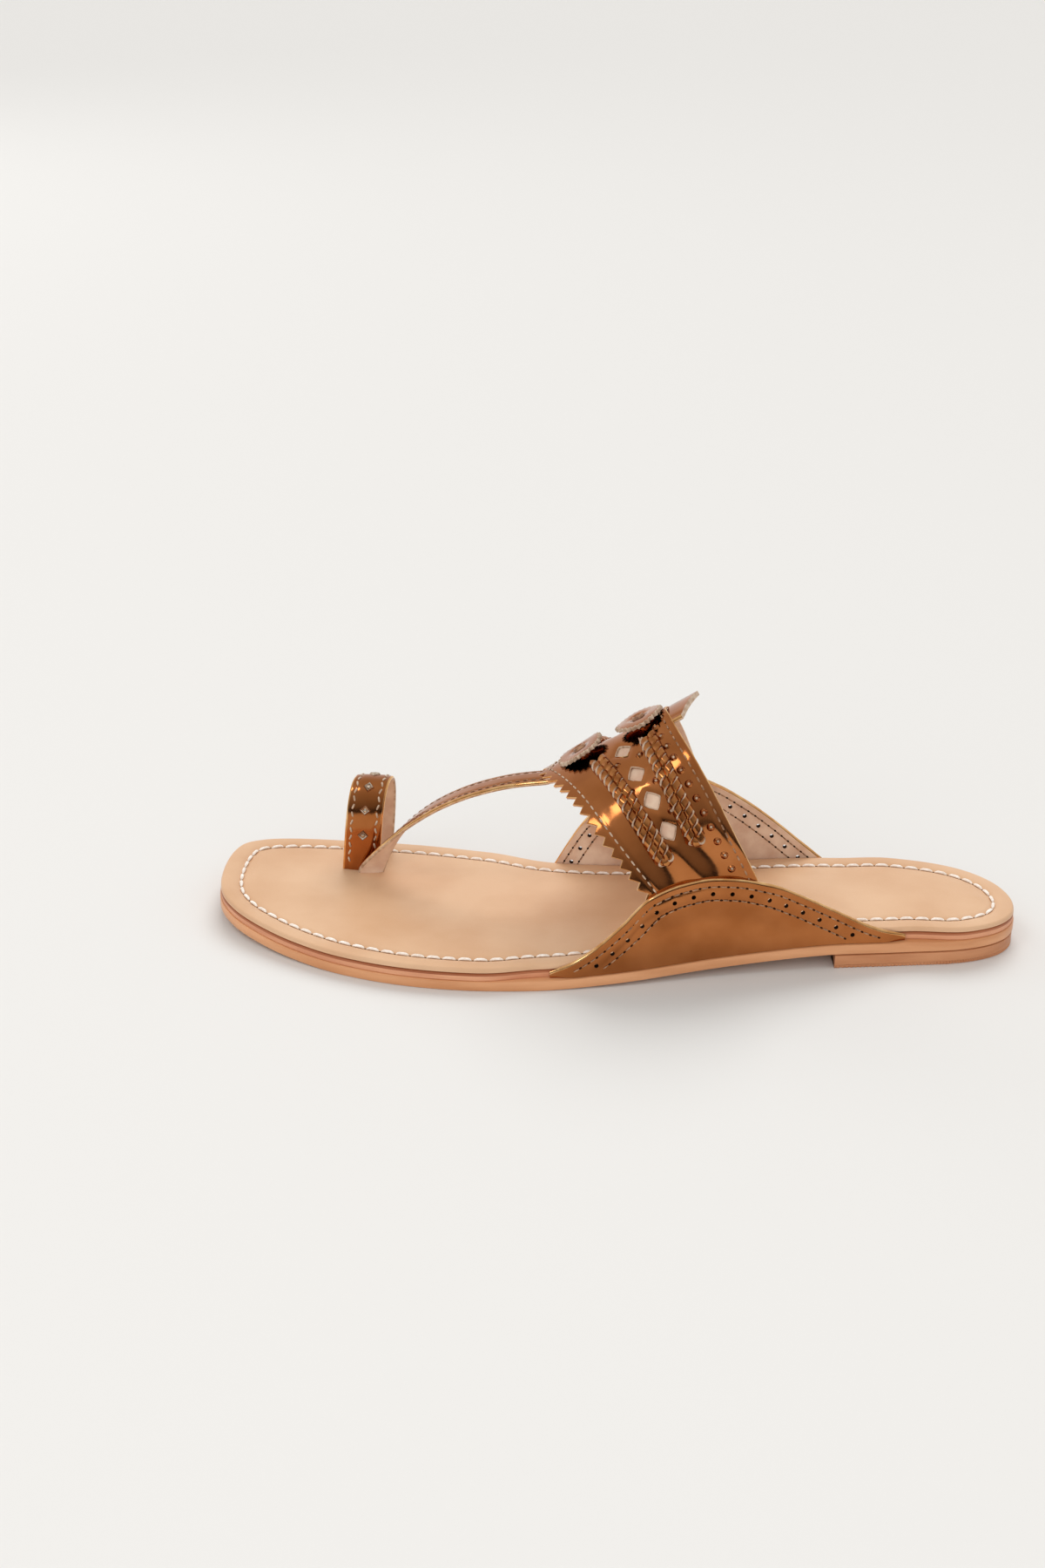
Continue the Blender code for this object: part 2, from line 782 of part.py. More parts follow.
def rosette(name, distance, material):
    """A pinked disc with a knot, lying over the crest of the band."""
    x = from_heel(distance)
    outer = BAND_INNER + BAND_WALL
    base = instep(x, math.pi / 2.0, outer)
    normal = Vector((CREST_SLOPE, 0.0, 1.0)).normalized()
    forward = Vector((1.0, 0.0, -CREST_SLOPE)).normalized()
    sideways = normal.cross(forward)
    radius = ROSETTE_DIAMETER / 2.0
    knot = KNOT_DIAMETER / 2.0
    low = ROSETTE_LIFT
    high = ROSETTE_LIFT + ROSETTE_WALL
    profile = (
        (knot * 0.7, CLEARANCE, 0.0),
        (knot, low, 0.0),
        (radius, low, ROSETTE_TOOTH),
        (radius, high, ROSETTE_TOOTH),
        (knot * 1.15, high, 0.0),
        (knot * 0.85, high + KNOT_HEIGHT, 0.0),
    )
    count = 2 * ROSETTE_TEETH
    points = []
    for reach, lift, tooth in profile:
        for i in range(count):
            turn = 2.0 * math.pi * i / count
            r = reach - tooth * (i % 2)
            lifted = lift
            if reach == radius:
                lifted -= ROSETTE_BEND * r * r / radius * math.sin(turn) ** 2
            flat = forward * (r * math.cos(turn)) + sideways * (r * math.sin(turn))
            points.append(base + flat + normal * lifted)
    faces = []
    for level in range(len(profile) - 1):
        for i in range(count):
            a = level * count + i
            b = level * count + (i + 1) % count
            faces.append((a, b, b + count, a + count))
    faces.append(tuple(range(count)))
    top = (len(profile) - 1) * count
    faces.append(tuple(range(top, top + count)))
    return add_object(name, points, faces, material)


def braid(name, side, row, material):
    """A raised strip of two chains of links, closed round its lower end."""
    upper_share, lower_share, lower_rise = BRAIDS[row]
    outer = BAND_INNER + BAND_WALL + CLEARANCE
    start_rise = math.degrees(math.pi / 2.0 - BRAID_REACH / CREST_RADIUS)
    samples = []
    for i in range(BRAID_SAMPLES + 1):
        rise = start_rise + (lower_rise - start_rise) * i / BRAID_SAMPLES
        angle = math.radians(rise) if side > 0 else math.pi - math.radians(rise)
        front, rear = band_edges(angle)
        share = upper_share + (lower_share - upper_share) * i / BRAID_SAMPLES
        samples.append((front + (rear - front) * share, angle))
    places = [instep(x, a, outer) for x, a in samples]
    lengths = [0.0]
    for i in range(BRAID_SAMPLES):
        lengths.append(lengths[-1] + (places[i + 1] - places[i]).length)
    total = lengths[-1]
    count = max(int(round(total / BRAID_LINK)), 4) * 2
    rows = []
    for i in range(count + 1):
        s = total * i / count
        x = float(np.interp(s, lengths, [p[0] for p in samples]))
        angle = float(np.interp(s, lengths, [p[1] for p in samples]))
        rows.append((x, angle, s))
    columns = len(BRAID_RIDGES)
    middle = columns // 2

    def grid(raised):
        def point(i, j):
            x, angle, s = rows[i]
            after = rows[min(i + 1, count)]
            before = rows[max(i - 1, 0)]
            along = instep(after[0], after[1], outer) - instep(before[0], before[1], outer)
            place = instep(x, angle, outer)
            normal = (instep(x, angle, outer + 0.001) - place).normalized()
            sideways = normal.cross(along.normalized())
            left = total - s
            half = BRAID_WIDTH / 2.0
            round_end = 1.0
            if left < half:
                round_end = math.sqrt(max(1.0 - ((half - left) / half) ** 2, 0.04))
            pulse = 1.0 - 0.08 * (i % 2)
            side_step = (j - middle) / middle * half * round_end * pulse
            spot = place + sideways * side_step
            if raised:
                spot = spot + normal * (BRAID_HEIGHT * BRAID_RIDGES[j] * (1.0 - 0.15 * (i % 2)))
            return spot

        return point

    return sheet_solid(name, count + 1, columns, grid(False), grid(True), material)


def sole_layers(tan, board_brown, beige):
    """Outsole, heel lift, board and footbed."""
    flush = constant(0.0)

    worn = constant(OUTSOLE_EDGE)
    slab(
        "outsole",
        (
            (worn, lambda x, side: underside(x)),
            (flush, lambda x, side: underside(x) + OUTSOLE_EDGE),
            (flush, lambda x, side: outsole_top(x) - OUTSOLE_EDGE),
            (worn, lambda x, side: outsole_top(x)),
        ),
        tan,
    )
    start = math.degrees(math.acos(HEEL_BREAST / HALF))
    lift_inset = constant(LIFT_INSET)
    rib = constant(LIFT_INSET + RIB_DEPTH)
    low_edge = constant(LIFT_INSET + LIFT_BEVEL)
    slab(
        "heel_lift",
        (
            (low_edge, lambda x, side: 0.0),
            (lift_inset, lambda x, side: LIFT_BEVEL),
            (lift_inset, lambda x, side: RIB_HEIGHT - RIB_DEPTH / 2.0),
            (rib, lambda x, side: RIB_HEIGHT),
            (lift_inset, lambda x, side: RIB_HEIGHT + RIB_DEPTH / 2.0),
            (lift_inset, lambda x, side: HEEL_LIFT_THICKNESS),
        ),
        tan,
        count=24,
        start=start,
    )
    step = FLANGE_LIFT + FLANGE_THICKNESS + CLEARANCE

    def margin(extra):
        return lambda x, side: board_inset(x, side) + extra

    def rabbet(x, side):
        return board_bottom(x) + step * beside_wing(x, side)

    board = slab(
        "insole_board",
        (
            (margin(FLANGE_WIDTH + SEAM_HALF_WIDTH + RABBET_SLOPE), lambda x, side: board_bottom(x)),
            (margin(FLANGE_WIDTH + SEAM_HALF_WIDTH), rabbet),
            (margin(0.0), rabbet),
            (margin(0.0), lambda x, side: board_top(x)),
        ),
        board_brown,
    )
    footbed = slab(
        "footbed",
        (
            (margin(0.0), lambda x, side: footbed_bottom(x)),
            (margin(0.0), lambda x, side: footbed_top(x) - FOOTBED_RIM),
            (margin(FOOTBED_RIM), lambda x, side: footbed_top(x)),
            (margin(SEAM_INSET - SEAM_HALF_WIDTH), lambda x, side: footbed_top(x)),
            (margin(SEAM_INSET), lambda x, side: footbed_top(x) - SEAM_DEPTH),
            (margin(SEAM_INSET + SEAM_HALF_WIDTH), lambda x, side: footbed_top(x)),
        ),
        beige,
        columns=4,
        crown=lambda t: FOOTBED_CROWN * 4.0 * t * (1.0 - t),
    )
    for layer in (board, footbed):
        for low, high in strap_slots():
            apply_boolean(layer, box_tool("slot_tool", low, high), "DIFFERENCE")


def build_upper():
    """Wings, band and spine strap joined into one hollow piece."""
    upper = band()
    upper.name = "upper"
    for cutter in cutout_tools():
        apply_boolean(upper, cutter, "DIFFERENCE")
    for side in SIDES.values():
        flap = wing(side)
        apply_boolean(flap, flange(side), "UNION")
        apply_boolean(upper, flap, "UNION")
    apply_boolean(upper, spine_strap(), "UNION")
    return upper


def build_trims(trim):
    """Rosettes and braids on the band."""
    rosette("rosette_front", FRONT_ROSETTE, trim)
    rosette("rosette_rear", REAR_ROSETTE, trim)
    for side_name, side in SIDES.items():
        for row in BRAIDS:
            braid("braid_" + side_name + "_" + row, side, row, trim)


for stale in list(bpy.data.objects):
    bpy.data.objects.remove(stale, do_unlink=True)

SOLE_LEATHER = make_material("sole_leather", (0.60, 0.28, 0.14), 0.45)
BOARD = make_material("fibre_board", (0.45, 0.17, 0.07), 0.70)
BEIGE = make_material("footbed_leather", (0.74, 0.48, 0.30), 0.55)
LEATHER = make_material("upper_leather", (0.30, 0.10, 0.03), 0.15, 1.0)
MIRROR_LEATHER = make_material("loop_leather", (0.30, 0.10, 0.03), 0.15, 1.0)
TRIM = make_material("trim_leather", (0.34, 0.15, 0.07), 0.20, 1.0)

sole_layers(SOLE_LEATHER, BOARD, BEIGE)
build_upper()
toe_loop()
build_trims(TRIM)
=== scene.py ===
"""Looks of a flat kolhapuri sandal for the left foot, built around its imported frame.

Metres, +Z up, +X to the toe, +Y to the outer side of the foot, floor at z = 0.
Each sub-assembly is a class that shapes its own meshes over the same last as the
solids of the frame, and dresses them with its finishes.
"""

import logging
import math
from dataclasses import dataclass
from enum import Enum
from typing import Callable, Optional, Sequence, Union

import bpy
import numpy as np
from mathutils import Matrix, Vector


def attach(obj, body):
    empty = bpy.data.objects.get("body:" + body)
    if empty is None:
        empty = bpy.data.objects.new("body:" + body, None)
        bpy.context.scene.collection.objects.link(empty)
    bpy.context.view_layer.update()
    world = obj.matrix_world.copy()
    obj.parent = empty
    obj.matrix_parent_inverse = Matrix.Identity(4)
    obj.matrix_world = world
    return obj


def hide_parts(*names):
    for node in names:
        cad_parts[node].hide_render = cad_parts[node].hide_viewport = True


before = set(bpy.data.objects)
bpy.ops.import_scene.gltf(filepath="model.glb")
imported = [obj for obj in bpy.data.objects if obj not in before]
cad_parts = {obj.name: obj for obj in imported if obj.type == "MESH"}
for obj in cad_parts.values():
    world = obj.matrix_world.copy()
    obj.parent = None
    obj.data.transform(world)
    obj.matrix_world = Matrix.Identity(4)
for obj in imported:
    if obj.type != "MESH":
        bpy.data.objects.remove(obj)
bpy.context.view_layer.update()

LOG = logging.getLogger("sandal")
BODY = "root"

# Points closer than this are one point.
SAME_POINT = 1e-6
# Edges with a sharper angle than this, in degrees, stay sharp.
SHARP = 38.0
# Steps round the edge of a sheet.
EDGE_STEPS = 6

Array = np.ndarray
Piece = bpy.types.Object
Model = tuple[Array, list[tuple[int, ...]], list[int]]
Surface = Callable[[Array, Array, Array, Array], Array]
Inset = Callable[[Array, Array], Array]
Level = Callable[[Array], Array]
Colour = Union[tuple[float, float, float, float], bpy.types.NodeSocket]


class Side(Enum):
    """Which side of the foot a piece is on, as the sign of Y."""

    LATERAL = 1
    MEDIAL = -1


# The sole's outline: angle round from the toe tip, then the lateral and the
# medial edge as shares of the ball width.
OUTLINE = (
    (0, -0.010, -0.010), (5, 0.095, -0.107), (10, 0.180, -0.182),
    (20, 0.302, -0.264), (30, 0.403, -0.315), (40, 0.500, -0.344),
    (50, 0.585, -0.352), (60, 0.641, -0.340), (70, 0.659, -0.308),
    (80, 0.638, -0.270), (90, 0.584, -0.248), (105, 0.469, -0.275),
    (120, 0.380, -0.302), (135, 0.325, -0.300), (150, 0.276, -0.243),
    (165, 0.186, -0.118), (172, 0.127, -0.042), (180, 0.043, 0.043),
)
# The wings' arch: share of the length from the front tip, then the share of
# the height on the lateral and on the medial side.
WING_ARCH = (
    (0.00, 0.00, 0.00), (0.05, 0.10, 0.26), (0.10, 0.22, 0.49), (0.15, 0.38, 0.66),
    (0.20, 0.57, 0.77), (0.27, 0.86, 0.88), (0.35, 0.97, 0.97), (0.42, 1.00, 1.00),
    (0.50, 0.96, 0.98), (0.60, 0.83, 0.87), (0.70, 0.61, 0.69), (0.80, 0.37, 0.47),
    (0.90, 0.15, 0.23), (1.00, 0.00, 0.00),
)
# The band's edges: degrees up from the sole, then the lateral front, lateral
# rear, medial front and medial rear edge as shares of the sweep.
BAND_EDGES = (
    (0, 1.000, 0.830, 0.750, 0.550), (15, 0.790, 0.620, 0.530, 0.370),
    (30, 0.580, 0.430, 0.335, 0.210), (45, 0.405, 0.280, 0.235, 0.120),
    (60, 0.268, 0.155, 0.150, 0.055), (75, 0.135, 0.060, 0.065, 0.018),
    (90, 0.000, 0.000, 0.000, 0.000),
)
# The thong: share of its reach, then the share of the shift across and of the
# height above the outsole.
THONG = (
    (0.000, 1.00, 1.000), (0.175, 0.93, 0.956), (0.365, 0.77, 0.868),
    (0.573, 0.55, 0.722), (0.730, 0.37, 0.562), (0.858, 0.23, 0.385),
    (0.948, 0.08, 0.205), (0.990, 0.00, 0.088), (1.000, 0.00, 0.015),
)


class Curve:
    """A smooth curve through the rows of a table, read at many places at once."""

    def __init__(self, xs: Sequence[float], ys: Sequence[float], rounded: bool = False) -> None:
        """Work out the slope at each row.

        Args:
            xs: Rising places.
            ys: Values at those places.
            rounded: True for rows that already lie on an arc.
        """
        self.xs = np.asarray(xs, float)
        self.ys = np.asarray(ys, float)
        self.step = np.diff(self.xs)
        rise = np.diff(self.ys) / self.step
        slope = np.concatenate(([rise[0]], np.zeros(len(rise) - 1), [rise[-1]]))
        for i in range(1, len(rise)):
            h0, h1, r0, r1 = self.step[i - 1], self.step[i], rise[i - 1], rise[i]
            if rounded:
                slope[i] = (r0 * h1 + r1 * h0) / (h0 + h1)
            elif r0 * r1 > 0:
                slope[i] = 3 * (h0 + h1) / ((2 * h0 + h1) / r1 + (h0 + 2 * h1) / r0)
        self.slope = slope

    def __call__(self, at: Array) -> Array:
        """Values of the curve at the given places."""
        at = np.clip(np.asarray(at, float), self.xs[0], self.xs[-1])
        i = np.clip(np.searchsorted(self.xs, at, side="right") - 1, 0, len(self.step) - 1)
        t = (at - self.xs[i]) / self.step[i]
        start = (1 + 2 * t) * (1 - t) ** 2 * self.ys[i]
        start = start + t * (1 - t) ** 2 * self.step[i] * self.slope[i]
        end = t * t * (3 - 2 * t) * self.ys[i + 1]
        return start + end - t * t * (1 - t) * self.step[i] * self.slope[i + 1]


def column(table: Sequence[Sequence[float]], index: int) -> list[float]:
    """One column of a table."""
    return [float(row[index]) for row in table]


def curve_of(table: Sequence[Sequence[float]], index: int, rounded: bool = False) -> Curve:
    """The curve of one column of a table over its first column."""
    return Curve(column(table, 0), column(table, index), rounded)


def soft_step(value: Array) -> Array:
    """0 below 0, 1 above 1 and a soft change between."""
    t = np.clip(value, 0.0, 1.0)
    return t * t * (3 - 2 * t)


def bump_of(distance: Array, width: float) -> Array:
    """A smooth bell that is 1 at no distance and fades out over a width."""
    return np.exp(-((distance / width) ** 2))


def unit(vectors: Array) -> Array:
    """Vectors brought to length one."""
    return vectors / np.maximum(np.linalg.norm(vectors, axis=-1, keepdims=True), 1e-12)


def both_sides(spots: Sequence[tuple[float, float]]) -> tuple[Array, Array]:
    """Angles and shares of spots on the lateral side and of the same on the medial one."""
    degrees = np.array(column(spots, 0))
    return np.radians(np.concatenate((degrees, 180.0 - degrees))), np.array(column(spots, 1) * 2)


def run_along(path: Array) -> Array:
    """Distance run along a path to each of its points."""
    return np.concatenate(([0.0], np.cumsum(np.linalg.norm(np.diff(path, axis=0), axis=1))))


def read_at(at: Array, marks: Array, values: Array) -> Array:
    """Numbers or points that stand at marks, read at places between them."""
    if values.ndim == 1:
        return np.interp(at, marks, values)
    return np.stack([np.interp(at, marks, values[:, k]) for k in range(3)], axis=-1)


def softened(path: Array) -> Array:
    """A path with its corners eased over nine points."""
    kernel = np.ones(9) / 9.0
    return np.stack([np.convolve(np.pad(path[:, k], 4, mode="edge"), kernel, mode="valid")
                     for k in range(3)], axis=-1)


@dataclass(frozen=True)
class Last:
    """The foot form and the sole's heights, which every piece is shaped over."""

    length: float = 0.2530
    ball_width: float = 0.0890
    outsole: float = 0.0032
    board: float = 0.0020
    footbed: float = 0.0015
    heel_lift: float = 0.0045
    heel_lift_length: float = 0.0575
    arch_length: float = 0.0880
    arch_straight: float = 0.55
    toe_spring: float = 0.0035
    toe_spring_length: float = 0.0470
    clearance: float = 0.0003
    crest_across: float = 0.0080
    crest_from_heel: float = 0.1108
    crest_height: float = 0.0703
    crest_slope: float = 0.570
    lateral_fullness: float = 0.94
    medial_fullness: float = 0.86
    crest_radius: float = 0.0340
    strap_inset: float = 0.0025

    @property
    def half(self) -> float:
        """Half the length."""
        return self.length / 2.0

    @property
    def middle(self) -> float:
        """Shift that centres the outline across."""
        widest = max(column(OUTLINE, 1)) + min(column(OUTLINE, 2))
        return 0.5 * widest * self.ball_width

    @property
    def crest(self) -> float:
        """Across position of the instep's crest."""
        return self.crest_across - self.middle

    def from_heel(self, distance: float) -> float:
        """Place along the sole at a distance from the heel end."""
        return distance - self.half

    def edge(self, side: Array, angle: Array) -> Array:
        """Across position of the outline at an angle round from the toe tip."""
        lateral = curve_of(OUTLINE, 1, rounded=True)(angle)
        medial = curve_of(OUTLINE, 2, rounded=True)(angle)
        return np.where(np.asarray(side) > 0, lateral, medial) * self.ball_width - self.middle

    def edge_at(self, side: Array, x: Array) -> Array:
        """Across position of the outline at a place along the sole."""
        return self.edge(side, np.degrees(np.arccos(np.clip(np.asarray(x) / self.half, -1, 1))))

    def underside(self, x: Array) -> Array:
        """Height of the outsole's underside."""
        past = np.maximum(x - (self.half - self.toe_spring_length), 0.0) / self.toe_spring_length
        breast = self.from_heel(self.heel_lift_length)
        t = np.clip((breast + self.arch_length - x) / self.arch_length, 0.0, 1.0)
        rise = self.arch_straight * t + (1.0 - self.arch_straight) * t * t * (3 - 2 * t)
        return self.toe_spring * past * past + (self.heel_lift + self.clearance) * rise

    def outsole_top(self, x: Array) -> Array:
        """Height of the outsole's upper face."""
        return self.underside(x) + self.outsole

    def board_bottom(self, x: Array) -> Array:
        """Height of the board's underside."""
        return self.outsole_top(x) + self.clearance

    def board_top(self, x: Array) -> Array:
        """Height of the board's upper face."""
        return self.board_bottom(x) + self.board

    def footbed_top(self, x: Array) -> Array:
        """Height of the footbed's upper face."""
        return self.board_top(x) + self.clearance + self.footbed

    def crest_at(self, x: Array) -> Array:
        """Height of the instep form along its crest."""
        return self.crest_height - self.crest_slope * (x - self.from_heel(self.crest_from_heel))

    def form(self, x: Array, angle: Array) -> Array:
        """Points of the instep form, at angles up from the lateral sole edge."""
        x, angle = np.broadcast_arrays(np.asarray(x, float), np.asarray(angle, float))
        side = np.where(np.cos(angle) >= 0, 1.0, -1.0)
        foot = self.edge_at(side, x) - side * self.strap_inset
        base = self.board_bottom(x)
        fullness = np.where(side > 0, self.lateral_fullness, self.medial_fullness)
        out = np.abs(np.cos(angle)) ** fullness
        up = np.maximum(np.sin(angle), 0.0) ** fullness
        y = self.crest + (foot - self.crest) * out
        z = base + (self.crest_at(x) - base) * up
        return np.stack((x, y, z), axis=-1)

    def normal(self, x: Array, angle: Array) -> Array:
        """Outward directions of the instep form."""
        x, angle = np.broadcast_arrays(np.asarray(x, float), np.asarray(angle, float))
        along = self.form(x + 0.0005, angle) - self.form(x - 0.0005, angle)
        around = self.form(x, angle + 0.004) - self.form(x, angle - 0.004)
        normal = unit(np.cross(along, around))
        outward = np.stack((np.zeros_like(x), np.cos(angle), np.sin(angle)), axis=-1)
        flip = np.sum(normal * outward, axis=-1, keepdims=True) < 0
        return np.where(flip, -normal, normal)

    def raised(self, x: Array, angle: Array, offset: Array) -> Array:
        """Points at an offset out from the instep form."""
        return self.form(x, angle) + self.normal(x, angle) * np.asarray(offset)[..., None]

    def angle_at(self, place: Array) -> Array:
        """Angle on the form of points near it."""
        x, y, z = place[..., 0], place[..., 1], place[..., 2]
        side = np.where(y >= self.crest, 1.0, -1.0)
        foot = self.edge_at(side, x) - side * self.strap_inset
        base = self.board_bottom(x)
        power = 1.0 / np.where(side > 0, self.lateral_fullness, self.medial_fullness)
        out = np.clip((y - self.crest) / (foot - self.crest), 0.0, None) ** power
        up = np.clip((z - base) / (self.crest_at(x) - base), 0.0, None) ** power
        angle = np.arctan2(up, out)
        return np.where(side > 0, angle, math.pi - angle)

    def normals_at(self, places: Array) -> Array:
        """Outward directions of the form at points near it."""
        return self.normal(places[:, 0], self.angle_at(places))


LAST = Last()


def linear(code: str) -> tuple[float, float, float, float]:
    """A linear colour from an sRGB hex code."""
    parts = [int(code[i:i + 2], 16) / 255.0 for i in (1, 3, 5)]
    flat = [c / 12.92 if c <= 0.04045 else ((c + 0.055) / 1.055) ** 2.4 for c in parts]
    return (flat[0], flat[1], flat[2], 1.0)


def add_node(tree: bpy.types.NodeTree, kind: str, settings: Optional[dict] = None,
             links: Optional[dict] = None) -> bpy.types.Node:
    """Add a shader node.

    Args:
        tree: The node tree.
        kind: The node's type name.
        settings: Attributes and input values by name.
        links: Output sockets by the name or number of the input they feed.

    Returns:
        The new node.
    """
    node = tree.nodes.new(kind)
    for name, value in (settings or {}).items():
        if isinstance(name, int) or name in node.inputs:
            node.inputs[name].default_value = value
        else:
            setattr(node, name, value)
    for name, source in (links or {}).items():
        tree.links.new(source, node.inputs[name])
    return node


def noise(tree: bpy.types.NodeTree, size: float, detail: float = 2.0,
          stretch: Sequence[float] = (1.0, 1.0, 1.0)) -> bpy.types.NodeSocket:
    """Noise whose blobs have a real size in metres, on the object's own coordinates."""
    where = add_node(tree, "ShaderNodeTexCoord")
    spread = add_node(tree, "ShaderNodeMapping", {"Scale": tuple(stretch)},
                      {"Vector": where.outputs["Object"]})
    cloud = add_node(tree, "ShaderNodeTexNoise", {"Scale": 1.0 / size, "Detail": detail},
                     {"Vector": spread.outputs["Vector"]})
    return cloud.outputs["Fac"]


def ramp(tree: bpy.types.NodeTree, value: bpy.types.NodeSocket,
         *stops: tuple[float, str]) -> bpy.types.NodeSocket:
    """Colours blended by a value, each at its own mark."""
    blend = add_node(tree, "ShaderNodeValToRGB", links={"Fac": value})
    elements = blend.color_ramp.elements
    while len(elements) < len(stops):
        elements.new(0.5)
    for element, (position, code) in zip(elements, stops):
        element.position = position
        element.color = linear(code)
    return blend.outputs["Color"]


def mixed(tree: bpy.types.NodeTree, share: bpy.types.NodeSocket, first: Colour,
          second: Colour) -> bpy.types.NodeSocket:
    """Two colours, each a fixed one or a socket, blended by a share."""
    node = add_node(tree, "ShaderNodeMix", {"data_type": "RGBA"}, {0: share})
    for number, value in ((6, first), (7, second)):
        if isinstance(value, bpy.types.NodeSocket):
            tree.links.new(value, node.inputs[number])
        else:
            node.inputs[number].default_value = value
    return node.outputs[2]


def spread_of(tree: bpy.types.NodeTree, value: bpy.types.NodeSocket, low: float,
              high: float) -> bpy.types.NodeSocket:
    """A value from 0.3 to 0.7 spread from low to high."""
    scaled = add_node(tree, "ShaderNodeMapRange",
                      {"From Min": 0.3, "From Max": 0.7, "To Min": low, "To Max": high},
                      {"Value": value})
    return scaled.outputs["Result"]


def bump(tree: bpy.types.NodeTree, height: bpy.types.NodeSocket,
         depth: float) -> bpy.types.NodeSocket:
    """A bump of a real depth in metres."""
    node = add_node(tree, "ShaderNodeBump", {"Strength": 1.0, "Distance": depth},
                    {"Height": height})
    return node.outputs["Normal"]


@dataclass(frozen=True)
class Finish:
    """A finish with two near colours, grain and relief."""

    name: str
    light: str
    dark: str
    roughness: float
    metallic: float = 0.0
    patch: float = 0.012
    grain: float = 0.0008
    relief: float = 0.00003
    roughness_spread: float = 0.05
    coat: float = 0.0
    coat_roughness: float = 0.25
    sheen: float = 0.0
    specular: float = 0.5
    stretch: tuple[float, float, float] = (1.0, 1.0, 1.0)

    def material(self) -> bpy.types.Material:
        """The finish as a node material, made once."""
        made = bpy.data.materials.get(self.name)
        if made is not None:
            return made
        made = bpy.data.materials.new(self.name)
        made.use_nodes = True
        tree = made.node_tree
        shader = tree.nodes["Principled BSDF"]
        for socket, value in (("Metallic", self.metallic), ("Coat Weight", self.coat),
                              ("Coat Roughness", self.coat_roughness),
                              ("Sheen Weight", self.sheen),
                              ("Specular IOR Level", self.specular)):
            shader.inputs[socket].default_value = value
        patches = noise(tree, self.patch, 3.0, self.stretch)
        colour = ramp(tree, patches, (0.35, self.dark), (0.68, self.light))
        tree.links.new(colour, shader.inputs["Base Color"])
        grain = noise(tree, self.grain, 2.0, self.stretch)
        low, high = self.roughness - self.roughness_spread, self.roughness + self.roughness_spread
        tree.links.new(spread_of(tree, grain, low, high), shader.inputs["Roughness"])
        tree.links.new(bump(tree, grain, self.relief), shader.inputs["Normal"])
        return made


# Mirror foil on leather: a metal film that keeps the hide's faint ripple.
BRONZE = Finish("foil_mirror_bronze_leather", "#B8723F", "#A56130", 0.12, metallic=1.0,
                patch=0.014, grain=0.0030, relief=0.00002, roughness_spread=0.03, coat=0.15)
# The same foil in a brighter colour: a painted highlight on rounded edges and folds, where they
# catch the light.
FOIL_EDGE_HIGHLIGHT = Finish("foil_fold_bright_bronze", "#F3C58B", "#D79D62", 0.16, metallic=1.0,
              patch=0.004, grain=0.0015, relief=0.00002, roughness_spread=0.03)
# Split hide lining: dull, pinkish and mottled.
LINING = Finish("split_hide_lining_beige", "#E4C9B1", "#CFAB92", 0.85, patch=0.006,
                grain=0.0007, relief=0.00006, sheen=0.15)
# Padded sheep nappa: even, soft and satin.
NAPPA = Finish("sheep_nappa_footbed_beige", "#DBB490", "#CEA27C", 0.47, patch=0.030,
               grain=0.0007, relief=0.00002, coat=0.06)
# Bonded board, its cut edge waxed to a pinkish tan.
BOARD = Finish("bonded_board_waxed_edge", "#DFA37C", "#CC8A66", 0.50, patch=0.005,
               grain=0.0006, relief=0.00004, stretch=(0.25, 0.25, 2.0))
# The stain that runs along the top of the board, where the cover is glued on.
STAIN = Finish("edge_stain_red_brown", "#AE6A45", "#97532F", 0.50, patch=0.008,
               grain=0.0006, relief=0.00004, stretch=(0.25, 0.25, 2.0))
# Vegetable tanned sole leather, edge waxed and burnished.
SOLE = Finish("veg_tan_sole_leather_waxed", "#DDA173", "#C98A5C", 0.42, patch=0.010,
              grain=0.0008, relief=0.00004, coat=0.10, stretch=(0.3, 0.3, 2.2))
# The heel's stacked leather, a little redder.
HEEL = Finish("veg_tan_heel_stack_leather", "#CD9066", "#B97A50", 0.48, patch=0.008,
              grain=0.0007, relief=0.00004, coat=0.06, stretch=(0.3, 0.3, 2.0))
# Waxed white linen thread.
WHITE_THREAD = Finish("linen_thread_waxed_white", "#FFF9F2", "#EADCCE", 0.62, patch=0.0012,
                      grain=0.0004, relief=0.00004, sheen=0.2)
# Polyester thread in brown, sunk in the foil's seams.
BROWN_THREAD = Finish("polyester_thread_brown", "#B58A68", "#7A543A", 0.45, patch=0.0012,
                      grain=0.0004, relief=0.00003)
# Painted shade for the inside of a needle or punch hole, where no light gets in.
HOLE = Finish("punched_hole_dark_fibre", "#3A2114", "#1E100A", 0.90, patch=0.001,
              specular=0.1)
# The discs' flesh side, painted near-black as the shade under each disc, which the mirror leather
# below shows.
DISC_UNDERSIDE_SHADE = Finish("flesh_side_dyed_black", "#0C0806", "#060403", 0.95, patch=0.002,
              specular=0.0)
# Narrow lace cut from the same foiled hide, its colour a little brighter than the band's foil: a
# painted highlight on the round links.
LACE = Finish("foil_lace_pulled_bronze", "#C4834C", "#9F6033", 0.15, metallic=1.0,
              patch=0.003, grain=0.0012, relief=0.00002, roughness_spread=0.03)
# Cut leather edge with a silvery foil rim.
CUT = Finish("cut_edge_pale_foil", "#D9C4AE", "#B08F74", 0.40, metallic=0.35, patch=0.0015,
             grain=0.0006, relief=0.00004)
# Pressed white metal stud.
STUD = Finish("white_metal_pressed_stud", "#E9DCCB", "#BCA58E", 0.24, metallic=1.0,
              patch=0.002, grain=0.0005, relief=0.00001)


def clear_selection() -> None:
    """Leave edit mode and deselect everything."""
    if bpy.context.object is not None and bpy.context.object.mode != "OBJECT":
        bpy.ops.object.mode_set(mode="OBJECT")
    bpy.ops.object.select_all(action="DESELECT")


